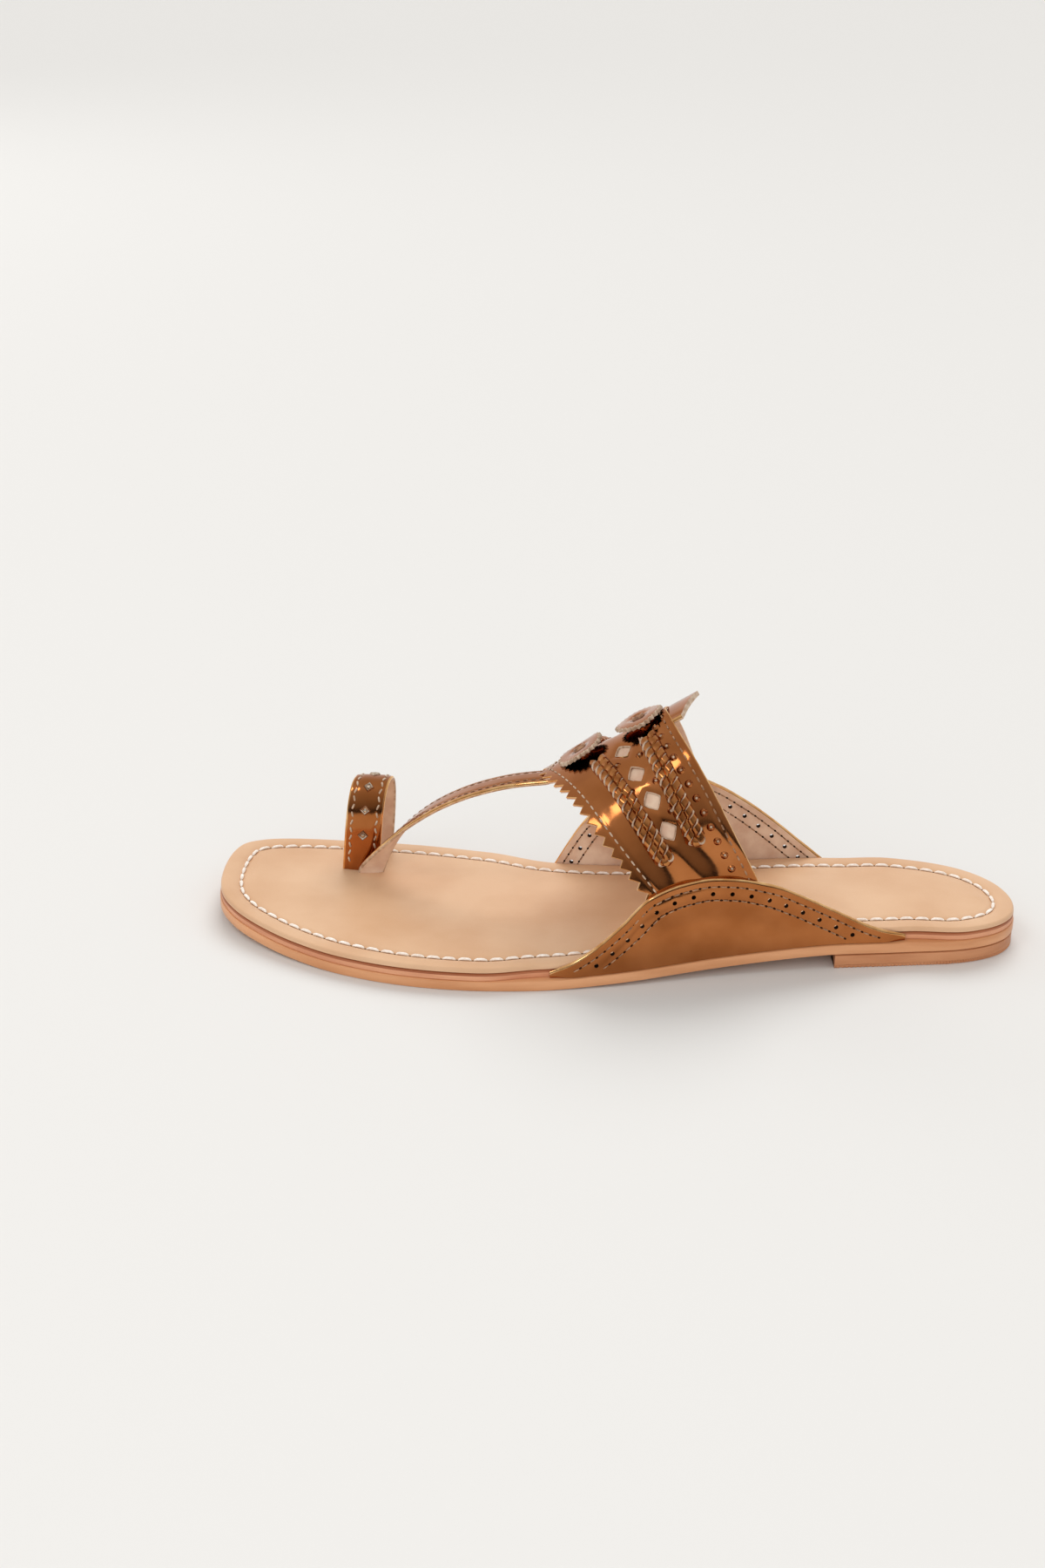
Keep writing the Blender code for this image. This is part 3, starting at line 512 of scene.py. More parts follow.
def focus(piece: Piece) -> None:
    """Make one object the only selected and active one."""
    clear_selection()
    piece.select_set(True)
    bpy.context.view_layer.objects.active = piece


def tidy_mesh(piece: Piece, fill: bool) -> None:
    """Merge doubles, close holes if asked, and turn the faces outward."""
    focus(piece)
    bpy.ops.object.mode_set(mode="EDIT")
    bpy.ops.mesh.select_all(action="SELECT")
    bpy.ops.mesh.remove_doubles(threshold=SAME_POINT)
    if fill:
        bpy.ops.mesh.select_all(action="SELECT")
        bpy.ops.mesh.fill_holes(sides=0)
    bpy.ops.mesh.select_all(action="SELECT")
    bpy.ops.mesh.normals_make_consistent(inside=False)
    bpy.ops.object.mode_set(mode="OBJECT")


def smooth(piece: Piece, degrees: float = SHARP) -> None:
    """Shade smooth, apart from edges sharper than an angle."""
    focus(piece)
    bpy.ops.object.shade_smooth_by_angle(angle=math.radians(degrees))


def shaped_grid(name: str, columns: int, rows: int, place: Callable[[Array, Array], Array],
                finishes: Sequence[Finish], slots: Sequence[int], fill: bool = True,
                degrees: float = SHARP) -> Piece:
    """A grid primitive moved onto a surface and closed where its edges meet.

    Args:
        name: The piece's name.
        columns: Faces along the first direction.
        rows: Faces along the second direction.
        place: Gives the points for arrays of column and row numbers.
        finishes: One for each of the piece's material slots.
        slots: Slot number for each row of faces.
        fill: Close what stays open.
        degrees: Edges sharper than this stay sharp.

    Returns:
        The new piece.
    """
    clear_selection()
    bpy.ops.mesh.primitive_grid_add(x_subdivisions=columns, y_subdivisions=rows, size=1.0)
    piece = bpy.context.object
    piece.name = name
    mesh = piece.data
    mesh.name = name
    flat = np.empty(len(mesh.vertices) * 3)
    mesh.vertices.foreach_get("co", flat)
    flat = flat.reshape(-1, 3)
    i = np.rint((flat[:, 0] + 0.5) * columns).astype(int)
    j = np.rint((flat[:, 1] + 0.5) * rows).astype(int)
    for finish in finishes:
        mesh.materials.append(finish.material())
    centres = np.empty(len(mesh.polygons) * 3)
    mesh.polygons.foreach_get("center", centres)
    row = np.floor((centres.reshape(-1, 3)[:, 1] + 0.5) * rows).astype(int)
    mesh.polygons.foreach_set("material_index", [slots[r] for r in row])
    mesh.vertices.foreach_set("co", place(i, j).astype(float).ravel())
    mesh.update()
    tidy_mesh(piece, fill)
    smooth(piece, degrees)
    return piece


@dataclass(frozen=True)
class Section:
    """A closed cross section of a sheet: across shares, edge swell and offset."""

    across: Array
    swell: Array
    offset: Array
    slots: tuple[int, ...]

    @staticmethod
    def sheet(steps: int, low: float, high: float, round_start: bool = True,
              edge_slot: int = 0, lining_slot: int = 1,
              low_slot: Optional[int] = None) -> "Section":
        """A sheet between two offsets with rounded edges.

        Args:
            steps: Faces across the sheet.
            low: Inner offset.
            high: Outer offset.
            round_start: Round the edge at share 0, as the one at share 1 is.
            edge_slot: Material slot of the edges.
            lining_slot: Material slot of the inner face.
            low_slot: Material slot of the inner half of the edges, if it differs.

        Returns:
            The section, outer face first.
        """
        low_slot = edge_slot if low_slot is None else low_slot
        half, middle = (high - low) / 2.0, (high + low) / 2.0
        across, swell, offset, slots = [], [], [], []
        for k in range(steps + 1):
            across.append(k / steps)
            swell.append(0.0)
            offset.append(high)
            slots.append(0 if k < steps else edge_slot)
        for rounded, share, sign in ((True, 1.0, 1.0), (round_start, 0.0, -1.0)):
            for k in range(1, EDGE_STEPS):
                turn = math.pi * k / EDGE_STEPS
                across.append(share)
                swell.append(sign * half * math.sin(turn) if rounded else 0.0)
                offset.append(middle + sign * half * math.cos(turn))
                outer_half = k < EDGE_STEPS / 2 if sign > 0 else k >= EDGE_STEPS / 2
                slots.append(edge_slot if outer_half else low_slot)
            if sign > 0:
                for k in range(steps + 1):
                    across.append(1.0 - k / steps)
                    swell.append(0.0)
                    offset.append(low)
                    slots.append(lining_slot if k < steps else low_slot)
        return Section(np.array(across), np.array(swell), np.array(offset), tuple(slots))


def paint_caps(piece: Piece, slot: int) -> None:
    """Give the many sided end faces of a sheet a slot."""
    for face in piece.data.polygons:
        if len(face.vertices) > 8:
            face.material_index = slot


def sheet_piece(name: str, along: Array, section: Section, surface: Surface,
                finishes: Sequence[Finish], degrees: float = SHARP) -> Piece:
    """A closed sheet swept along a surface.

    Args:
        name: The piece's name.
        along: Shares along the sheet, a row of points for each.
        section: The cross section.
        surface: Points from shares along, shares across, edge swell and offset.
        finishes: Those of the outer face, the lining and the edges.
        degrees: Edges sharper than this stay sharp.

    Returns:
        The new piece.
    """
    size = len(section.across)

    def place(i: Array, j: Array) -> Array:
        """Points of the swept section."""
        k = j % size
        return surface(along[i], section.across[k], section.swell[k], section.offset[k])

    return shaped_grid(name, len(along) - 1, size, place, finishes, section.slots,
                       degrees=degrees)


def settle(piece: Piece, slot: str, *nodes: str) -> Piece:
    """Ride the piece on the shoe and hide the frame's nodes it stands for."""
    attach(piece, BODY)
    if nodes:
        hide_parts(*nodes)
    LOG.info("%s: %d faces", piece.name, len(piece.data.polygons))
    return piece


def prototype(piece: Piece) -> Model:
    """Points, faces and slots of a small model, which is then removed."""
    mesh = piece.data
    points = np.array([tuple(v.co) for v in mesh.vertices])
    faces = [tuple(p.vertices) for p in mesh.polygons]
    slots = [p.material_index for p in mesh.polygons]
    bpy.data.objects.remove(piece, do_unlink=True)
    return points, faces, slots


def repeated(name: str, model: Model, places: Array, frames: Array,
             finishes: Sequence[Finish]) -> Piece:
    """Copies of a small model joined in one mesh.

    Args:
        name: The piece's name.
        model: Points, faces and slots of the model.
        places: Where each copy goes.
        frames: For each copy three vectors: the model's X, Y and Z.
        finishes: One for each material slot.

    Returns:
        The joined piece.
    """
    points, faces, slots = model
    moved = np.einsum("pk,nkc->npc", points, frames) + places[:, None, :]
    count = len(points)
    every = []
    for n in range(len(places)):
        every += [tuple(v + n * count for v in face) for face in faces]
    mesh = bpy.data.meshes.new(name)
    mesh.from_pydata(moved.reshape(-1, 3).tolist(), [], every)
    for finish in finishes:
        mesh.materials.append(finish.material())
    mesh.polygons.foreach_set("material_index", slots * len(places))
    mesh.update()
    piece = bpy.data.objects.new(name, mesh)
    bpy.context.scene.collection.objects.link(piece)
    smooth(piece, 50.0)
    return piece


def scattered(name: str, slot: str, model: Model, places: Array, frames: Array,
              *finishes: Finish) -> None:
    """Copies of a small model, joined and settled on the shoe.

    Args:
        name: The piece's name.
        slot: Not used.
        model: Points, faces and slots of the model.
        places: Where each copy goes.
        frames: For each copy three vectors: the model's X, Y and Z.
        finishes: One for each material slot.
    """
    settle(repeated(name, model, places, frames, finishes), slot)


def frames_of(along: Array, normal: Array) -> Array:
    """Frames whose X runs along and whose Z is the normal."""
    along = unit(along - normal * np.sum(along * normal, axis=-1, keepdims=True))
    return np.stack((along, np.cross(normal, along), normal), axis=1)


def even(points: Array, pitch: float, closed: bool = False) -> tuple[Array, Array]:
    """Places at an even pitch along a path, with the path's direction there.

    Args:
        points: The path.
        pitch: Wanted distance between places.
        closed: True for a ring.

    Returns:
        The places and the directions.
    """
    if closed:
        points = np.concatenate((points, points[:1]))
    run = run_along(points)
    count = max(int(round(run[-1] / pitch)), 2)
    at = (np.arange(count) + 0.5) * run[-1] / count
    small = pitch * 0.3
    ahead = unit(read_at(at + small, run, points) - read_at(at - small, run, points))
    return read_at(at, run, points), ahead


def even_on(surface: Surface, shares: Array, across: float, level: float,
            pitch: float) -> tuple[Array, Array]:
    """Even places along a strap, with the frames of what is sewn there.

    Args:
        surface: The strap's surface.
        shares: Fine shares along it, where the row runs.
        across: Share across it.
        level: Offset of its outer face.
        pitch: Wanted distance between places.

    Returns:
        The places and their frames.
    """
    flat = np.zeros_like(shares)
    path = surface(shares, flat + across, flat, flat + level)
    above = surface(shares, flat + across, flat, flat + level + 0.001)
    places, ahead = even(path, pitch)
    nearest = np.array([np.argmin(np.sum((path - p) ** 2, axis=1)) for p in places])
    return places, frames_of(ahead, unit((above - path)[nearest]))


def stitch_model(length: float, width: float, height: float) -> Model:
    """A stitch: a bent pillow of thread that dives in at both ends."""
    clear_selection()
    bpy.ops.mesh.primitive_uv_sphere_add(segments=8, ring_count=6, radius=0.5)
    piece = bpy.context.object
    bpy.ops.transform.rotate(value=math.pi / 2, orient_axis="Y", center_override=(0, 0, 0))
    bpy.ops.object.transform_apply(location=False, rotation=True, scale=False)
    for vertex in piece.data.vertices:
        x = vertex.co.x * 2.0
        full = (1.0 - abs(x) ** 4) ** 0.5 if abs(x) < 1.0 else 0.0
        ring = math.hypot(vertex.co.y, vertex.co.z)
        share = full / ring if ring > 1e-6 else 0.0
        vertex.co.y *= share * width / 2.0
        vertex.co.z = vertex.co.z * share * height / 2.0 + height * (0.30 - 0.55 * x ** 4)
        vertex.co.x = x * length / 2.0
    return prototype(piece)


def needle_hole(radius: float) -> Model:
    """A small dimple of painted shade left by the needle, oval along the seam."""
    clear_selection()
    bpy.ops.mesh.primitive_uv_sphere_add(segments=8, ring_count=5, radius=radius)
    bpy.ops.transform.resize(value=(1.25, 0.8, 0.16))
    bpy.ops.object.transform_apply(location=False, rotation=False, scale=True)
    return prototype(bpy.context.object)


def turned_model(name: str, sides: int, profile: Sequence[tuple[float, float, int]],
                 degrees: float = SHARP) -> Model:
    """A small model turned from a profile.

    Args:
        name: A name for the model.
        sides: Steps round it.
        profile: Radius, height and slot of each step, from the outside in.
        degrees: Edges sharper than this stay sharp.

    Returns:
        Points, faces and slots of the model.
    """
    reach, lift = np.array(column(profile, 0)), np.array(column(profile, 1))

    def place(i: Array, j: Array) -> Array:
        """Points of the turned profile."""
        turn = 2.0 * math.pi * i / sides
        return np.stack((reach[j] * np.cos(turn), reach[j] * np.sin(turn), lift[j]), axis=-1)

    slots = [row[2] for row in profile]
    return prototype(shaped_grid(name, sides, len(profile) - 1, place, (), slots, False, degrees))


def ring_model(outer: float, rim: float, inner: float, height: float) -> Model:
    """A punched crater: a raised ring round a sunk floor."""
    floor = 0.12 * height
    profile = ((outer, -0.25 * height, 0), (0.5 * (outer + rim), 0.45 * height, 0),
               (rim, height, 0), (inner, 0.55 * height, 1), (inner * 0.8, floor, 1),
               (0.0, floor, 1))
    return turned_model("punch_model", 14, profile)


def cut(piece: Piece, cutters: Sequence[Piece]) -> None:
    """Cut closed shapes out of a piece."""
    for cutter in cutters:
        focus(piece)
        modifier = piece.modifiers.new("Cut", "BOOLEAN")
        modifier.operation = "DIFFERENCE"
        modifier.solver = "EXACT"
        modifier.object = cutter
        bpy.ops.object.modifier_apply(modifier=modifier.name)
        bpy.data.objects.remove(cutter, do_unlink=True)


def rods(name: str, places: Array, normals: Array, radius: float, length: float) -> Piece:
    """Short round rods to cut holes with, whose walls then take the last of four slots, which holds
    painted shade.
    """
    clear_selection()
    bpy.ops.mesh.primitive_cylinder_add(vertices=10, radius=radius, depth=length)
    points, faces, slots = prototype(bpy.context.object)
    side = np.where(np.abs(normals[:, :1]) < 0.9, np.array([[1.0, 0, 0]]), np.array([[0, 0, 1.0]]))
    return repeated(name, (points, faces, [3] * len(slots)), places, frames_of(side, normals),
                    [HOLE] * 4)


def ground(x: Array) -> Array:
    """Height of the floor."""
    return np.zeros_like(x)


@dataclass(frozen=True)
class SoleStack:
    """Outsole, heel lift, board and footbed."""

    around: int = 150
    board_inset: float = 0.0004
    wing_inset: float = 0.0029
    wing_margin: float = 0.0010
    wing_runout: float = 0.0200
    edge_round: float = 0.0004
    inner_ring: float = 0.0100
    middle_share: float = 0.90
    heel_middle_share: float = 0.98
    heel_middle_start: float = 0.0030
    rib_depth: float = 0.0004
    seam_inset: float = 0.0064
    seam_reach: float = 0.0030
    seam_depth: float = 0.0006
    seam_spread: float = 0.0011
    swell: float = 0.0002
    pad_round: float = 0.0009
    crown: float = 0.0004
    stitch_pitch: float = 0.0048
    stitch_width: float = 0.00105
    stitch_height: float = 0.00090
    needle_radius: float = 0.00034

    def ring(self, inset: Inset, start: float = 0.0) -> Array:
        """Plan points round the outline, moved inward.

        Args:
            inset: Distance inward from places along and sides.
            start: First angle from the toe tip, for a piece cut off square.

        Returns:
            Points in plan.
        """
        fine = start + (180.0 - start) * np.arange(self.around + 1) / self.around
        angle = np.concatenate((fine, fine[-2::-1] if start > 0 else fine[-2:0:-1]))
        side = np.concatenate((np.ones(len(fine)), -np.ones(len(angle) - len(fine))))
        x = LAST.half * np.cos(np.radians(angle))
        y = LAST.edge(side, angle)
        ring = np.stack((x, y), axis=-1)
        ahead = np.roll(ring, -1, axis=0) - np.roll(ring, 1, axis=0)
        if start > 0:
            ahead[0] = ring[1] - ring[0]
            ahead[-1] = ring[-1] - ring[-2]
        inward = unit(np.stack((ahead[:, 1], -ahead[:, 0]), axis=-1))
        inward *= np.where(np.sum(inward * -ring, axis=-1, keepdims=True) < 0, -1.0, 1.0)
        moved = ring + inward * inset(x, side)[:, None]
        if start > 0:
            moved[[0, -1], 0] = x[[0, -1]]
        return moved

    def beside_wing(self, x: Array, side: Array) -> Array:
        """1 beside a wing, 0 away from it, with a soft change past its tips."""
        value = np.zeros_like(x)
        for wing in (LATERAL_WING, MEDIAL_WING):
            rear = LAST.from_heel(wing.rear)
            past = np.maximum(np.maximum(rear - x, x - rear - wing.length), 0.0)
            close = 1.0 - soft_step((past - self.wing_margin) / self.wing_runout)
            value = np.where(side == wing.side.value, close, value)
        return value

    def plain(self, depth: float) -> Inset:
        """The same inset all round."""

        def inset(x: Array, side: Array) -> Array:
            """Distances inward."""
            return np.full_like(x, depth)

        return inset

    def ribbed(self, depth: float) -> Inset:
        """An inset that steps in and out, for fine upright ribs."""

        def inset(x: Array, side: Array) -> Array:
            """Distances inward."""
            return depth + self.rib_depth * (np.arange(len(x)) % 2)

        return inset

    def margin(self, extra: float) -> Inset:
        """Inset of the board and footbed, which make room for the wings."""

        def inset(x: Array, side: Array) -> Array:
            """Distances inward."""
            span = self.wing_inset - self.board_inset
            return self.board_inset + extra + span * self.beside_wing(x, side)

        return inset

    def layer(self, name: str, rings: Sequence[tuple[Inset, float, Level, float]],
              finishes: Sequence[Finish], slots: Sequence[int] = (), start: float = 0.0,
              degrees: float = SHARP) -> Piece:
        """A closed layer lofted through rings.

        Args:
            name: The piece's name.
            rings: Inset, share of the way to the middle line, level and lift of each.
            finishes: One for each material slot.
            slots: Slot of each step between rings, or none if it is always the first.
            start: First angle, for a piece cut off square.
            degrees: Edges sharper than this stay sharp.

        Returns:
            The layer.
        """
        middle_x = self.ring(self.plain(0.0), start)[:, 0]
        if start > 0:
            heel = LAST.from_heel(0.0)
            middle_x = heel + (middle_x - heel) * self.heel_middle_share + self.heel_middle_start
        else:
            middle_x = middle_x * self.middle_share
        middle_y = 0.5 * (LAST.edge_at(1, middle_x) + LAST.edge_at(-1, middle_x))
        middle = np.stack((middle_x, middle_y), axis=-1)
        stack = []
        for inset, toward, level, lift in rings:
            plan = self.ring(inset, start)
            plan = plan + (middle - plan) * toward
            stack.append(np.column_stack((plan, level(plan[:, 0]) + lift)))
        stack = np.array(stack)
        size = stack.shape[1]

        def place(i: Array, j: Array) -> Array:
            """Points of the loft."""
            return stack[j, i % size]

        return shaped_grid(name, size, len(stack) - 1, place, finishes, slots or [0] * len(stack),
                           degrees=degrees)

    def outsole(self) -> None:
        """Sole leather with eased edges and a flat flesh side below."""
        r = self.edge_round
        rows = ((self.inner_ring, 1.0, 0.0), (self.inner_ring, 0.5, 0.0),
                (self.inner_ring, 0.0, 0.0), (r, 0.0, 0.0), (0.3 * r, 0.0, 0.3 * r), (0.0, 0.0, r))
        rings = [(self.plain(inset), toward, LAST.underside, lift) for inset, toward, lift in rows]
        rings += [(self.plain(inset), toward, LAST.outsole_top, -drop)
                  for inset, toward, drop in reversed(rows)]
        settle(self.layer("outsole_leather", rings, (SOLE,)), "sole_leather", "outsole")

    def heel(self) -> None:
        """The heel lift, with fine upright ribs low on its edge."""
        start = math.degrees(math.acos(LAST.from_heel(LAST.heel_lift_length) / LAST.half))
        top = LAST.heel_lift
        rows = ((self.plain(0.0010), 1.0, 0.0), (self.ribbed(0.0005), 0.0, 0.0),
                (self.ribbed(0.0002), 0.0, 0.0003), (self.ribbed(0.0002), 0.0, 0.0009),
                (self.plain(0.0005), 0.0, 0.0011), (self.plain(0.0002), 0.0, 0.0013),
                (self.plain(0.0002), 0.0, top - 0.0002), (self.plain(0.0007), 0.0, top),
                (self.plain(0.0010), 1.0, top))
        rings = [(inset, toward, ground, lift) for inset, toward, lift in rows]
        piece = self.layer("heel_lift_stack", rings, (HEEL,), start=start)
        settle(piece, "sole_leather", "heel_lift")

    def board(self) -> None:
        """The board between outsole and footbed, with its stained edge."""
        deep, gap = self.inner_ring, 0.5 * LAST.clearance
        low = ((deep, 1.0, 0.0), (deep, 0.0, 0.0), (0.0002, 0.0, 0.0), (0.0, 0.0, 0.0002))
        top = ((-0.0001, 0.0, 0.0008), (0.0, 0.0, 0.0003), (0.0004, 0.0, 0.0),
               (deep, 0.0, 0.0), (deep, 1.0, 0.0))
        rings = [(self.margin(inset), toward, LAST.outsole_top, lift)
                 for inset, toward, lift in low]
        rings += [(self.margin(inset), toward, LAST.board_top, gap - drop)
                  for inset, toward, drop in top]
        slots = [0] * len(low) + [1] * len(top)
        piece = self.layer("insole_board_edge", rings, (BOARD, STAIN), slots)
        settle(piece, "fibre_board", "insole_board")

    def footbed(self) -> None:
        """Padded leather over the board, drawn down along its seam."""
        deep, gap = self.inner_ring, 0.5 * LAST.clearance
        thick = LAST.footbed + gap
        rows = [(deep, 1.0, 0.0), (deep, 0.0, 0.0), (0.0005, 0.0, 0.0)]
        for turn in np.linspace(0.0, math.pi / 2, 7):
            rows.append((self.pad_round * (1 - math.cos(turn)) - 0.0001, 0.0,
                         thick - (thick - 0.0003) * (1 - math.sin(turn))))
        for distance in np.linspace(-self.seam_reach, self.seam_reach, 13):
            dip = self.seam_depth * bump_of(distance, self.seam_spread)
            sunk = self.swell * bump_of(distance, self.seam_reach) - self.swell
            rows.append((self.seam_inset + distance, 0.0, thick - dip - sunk))
        for toward in np.linspace(0.12, 1.0, 9):
            rise = self.crown * math.sin(0.5 * math.pi * toward) + self.swell
            rows.append((self.seam_inset + self.seam_reach, toward, thick + rise))
        rings = [(self.margin(inset), toward, LAST.board_top, gap + lift)
                 for inset, toward, lift in rows]
        piece = self.layer("footbed_nappa", rings, (NAPPA,), degrees=60.0)
        settle(piece, "footbed_leather", "footbed")

    def seam(self) -> None:
        """White running stitch round the footbed, sunk in its dip, with its needle holes."""
        ring = self.ring(self.margin(self.seam_inset))
        z = LAST.footbed_top(ring[:, 0]) - self.seam_depth + 0.0003
        places, along = even(np.column_stack((ring, z)), self.stitch_pitch, True)
        up = np.tile(np.array([[0.0, 0.0, 1.0]]), (len(places), 1))
        frames = frames_of(along, up)
        model = stitch_model(self.stitch_pitch * 0.90, self.stitch_width, self.stitch_height)
        scattered("footbed_stitches", "footbed_leather", model, places, frames, WHITE_THREAD)
        # The needle holes are dimples of painted shade.
        holes = places + along * self.stitch_pitch * 0.5 - up * 0.00022
        scattered("footbed_needle_holes", "footbed_leather", needle_hole(self.needle_radius),
                  holes, frames, HOLE)

    def build(self) -> None:
        """Every layer and the seam."""
        self.outsole()
        self.heel()
        self.board()
        self.footbed()
        self.seam()


@dataclass(frozen=True)
class Wing:
    """An arched side flap of mirror leather with its lining."""

    side: Side
    rear: float
    length: float
    height: float
    wall: float = 0.0019
    foot_height: float = 0.0010
    upper_row: float = 0.0020
    lower_row: float = 0.0062
    stitch_pitch: float = 0.0029
    hole_pitch: float = 0.0060
    hole_radius: float = 0.00072
    needle_radius: float = 0.00042
    stitch_width: float = 0.00044
    stitch_height: float = 0.00034
    puff: float = 0.00014
    upper_dip: float = 0.00003
    lower_dip: float = 0.00005
    pucker: float = 0.00002
    tip_share: float = 0.07
    tip_wall: float = 0.35
    flare: float = 0.0012
    flare_past: float = 0.0070
    flare_run: float = 0.0090
    flare_deep: float = 0.0110
    steps_along: int = 190
    steps_across: int = 44

    def place_along(self, share: Array) -> Array:
        """Place along the sole at a share from the front tip."""
        return LAST.from_heel(self.rear) + self.length * (1.0 - share)

    def top_angle(self, share: Array) -> Array:
        """Angle of the arch on the form."""
        index = 1 if self.side is Side.LATERAL else 2
        arch = curve_of(WING_ARCH, index)(share)
        rise = self.foot_height + arch * self.height
        x = self.place_along(share)
        full = LAST.lateral_fullness if self.side is Side.LATERAL else LAST.medial_fullness
        sine = np.clip((rise / (LAST.crest_at(x) - LAST.board_bottom(x))) ** (1.0 / full), 0, 0.98)
        return np.arcsin(sine)

    def turned(self, angle: Array) -> Array:
        """The angle on this wing's side."""
        return angle if self.side is Side.LATERAL else math.pi - angle

    def surface(self, share: Array, across: Array, swell: Array, offset: Array) -> Array:
        """Points of the wing: across runs up from the sole to the arch."""
        x = self.place_along(share)
        top = self.top_angle(share)
        radius = LAST.crest_at(x) - LAST.board_bottom(x)
        angle = top * across + swell * 0.7 / radius
        tip = soft_step(np.minimum(share, 1.0 - share) / self.tip_share)
        below = (1.0 - across) * top * radius
        puff = self.puff * bump_of(below - 0.5 * (self.upper_row + self.lower_row), 0.0016)
        puff = puff - self.upper_dip * bump_of(below - self.upper_row, 0.0006)
        puff = puff - self.lower_dip * bump_of(below - self.lower_row, 0.0007)
        wide = soft_step(top * radius / 0.012)
        pucker = self.pucker * np.sin(share * self.length / self.stitch_pitch * 2 * math.pi)
        puff = puff + pucker * (bump_of(below - self.upper_row, 0.0012)
                                + bump_of(below - self.lower_row, 0.0012))
        puff = puff * wide * (offset > 0.5 * self.wall)
        offset = offset * (self.tip_wall + (1.0 - self.tip_wall) * tip) + puff
        turned = self.turned(angle)
        return LAST.raised(x, turned, offset + self.flared(x, turned, below))

    def flared(self, x: Array, angle: Array, below: Array) -> Array:
        """How far the wing stands out where the band runs in behind it.

        Args:
            x: Places along the sole.
            angle: Angles on the form.
            below: Distances below the arch.

        Returns:
            The extra offset.
        """
        front, rear = BAND.edges(angle)
        after = soft_step((x - rear + self.flare_past) / self.flare_run)
        before = soft_step((front + self.flare_past - x) / self.flare_run)
        fade = 1.0 - soft_step((below - 0.003) / self.flare_deep)
        return self.flare * after * before * fade

    def edge_path(self, depth: float, offset: float) -> Array:
        """A path on the wing at an even depth below its arch.

        Args:
            depth: Distance below the arch, square to it.
            offset: Offset out from the form.

        Returns:
            Points of the path.
        """
        share = np.linspace(0.0, 1.0, 400)
        x = self.place_along(share)
        angle = self.turned(self.top_angle(share))
        arch = LAST.form(x, angle)
        along = unit(np.gradient(arch, axis=0))
        inward = np.cross(LAST.normal(x, angle), along)
        inward = np.where(inward[:, 2:] > 0, -inward, inward)
        moved = arch + inward * depth
        base = LAST.board_bottom(moved[:, 0]) + 0.0016
        ahead = moved[:, 0] - LAST.from_heel(self.rear)
        moved = moved[(moved[:, 2] > base) & (ahead > 0.0) & (ahead < self.length)]
        x, angle = moved[:, 0], LAST.angle_at(moved)
        return LAST.raised(x, angle, offset + self.flared(x, angle, np.full(len(x), depth)))

    def build(self) -> None:
        """The flap, its punched holes and its seams on both faces."""
        name = "wing_" + self.side.name.lower()
        along = 0.5 - 0.5 * np.cos(np.linspace(0.0, math.pi, self.steps_along))
        # The edges take the brighter foil, a painted highlight; the punched holes' walls take
        # painted shade.
        section = Section.sheet(self.steps_across, 0.0, self.wall, round_start=False, edge_slot=2)
        flap = sheet_piece(name, along, section, self.surface, (BRONZE, LINING, FOIL_EDGE_HIGHLIGHT, HOLE))
        middle = 0.5 * (self.upper_row + self.lower_row)
        places, _ = even(self.edge_path(middle, self.wall * 0.5), self.hole_pitch)
        cut(flap, [rods("punch", places, LAST.normals_at(places), self.hole_radius, 0.006)])
        smooth(flap)
        settle(flap, "bronze_leather", "upper")
        model = stitch_model(self.stitch_pitch * 0.70, self.stitch_width, self.stitch_height)
        hole = needle_hole(self.needle_radius)
        for row, depth in (("upper", self.upper_row), ("lower", self.lower_row)):
            for face, offset, sign in (("outer", self.wall, 1.0), ("inner", 0.0, -1.0)):
                path = self.edge_path(depth, offset + sign * 0.00002)
                places, ahead = even(path, self.stitch_pitch)
                out = LAST.normals_at(places) * sign
                frames = frames_of(ahead, out)
                scattered(f"{name}_stitches_{row}_{face}", "bronze_leather", model, places,
                          frames, BROWN_THREAD)
                # The needle holes are dimples of painted shade.
                spots = places + ahead * self.stitch_pitch * 0.5 + out * 0.00001
                scattered(f"{name}_needle_holes_{row}_{face}", "bronze_leather", hole, spots,
                          frames, HOLE)


LATERAL_WING = Wing(Side.LATERAL, 0.0362, 0.1080, 0.0246)
MEDIAL_WING = Wing(Side.MEDIAL, 0.0575, 0.0900, 0.0330)


@dataclass(frozen=True)
class Dent:
    """A soft trough or ridge pressed into the band."""

    share: float
    degrees: float
    wide: float
    long: float
    depth: float


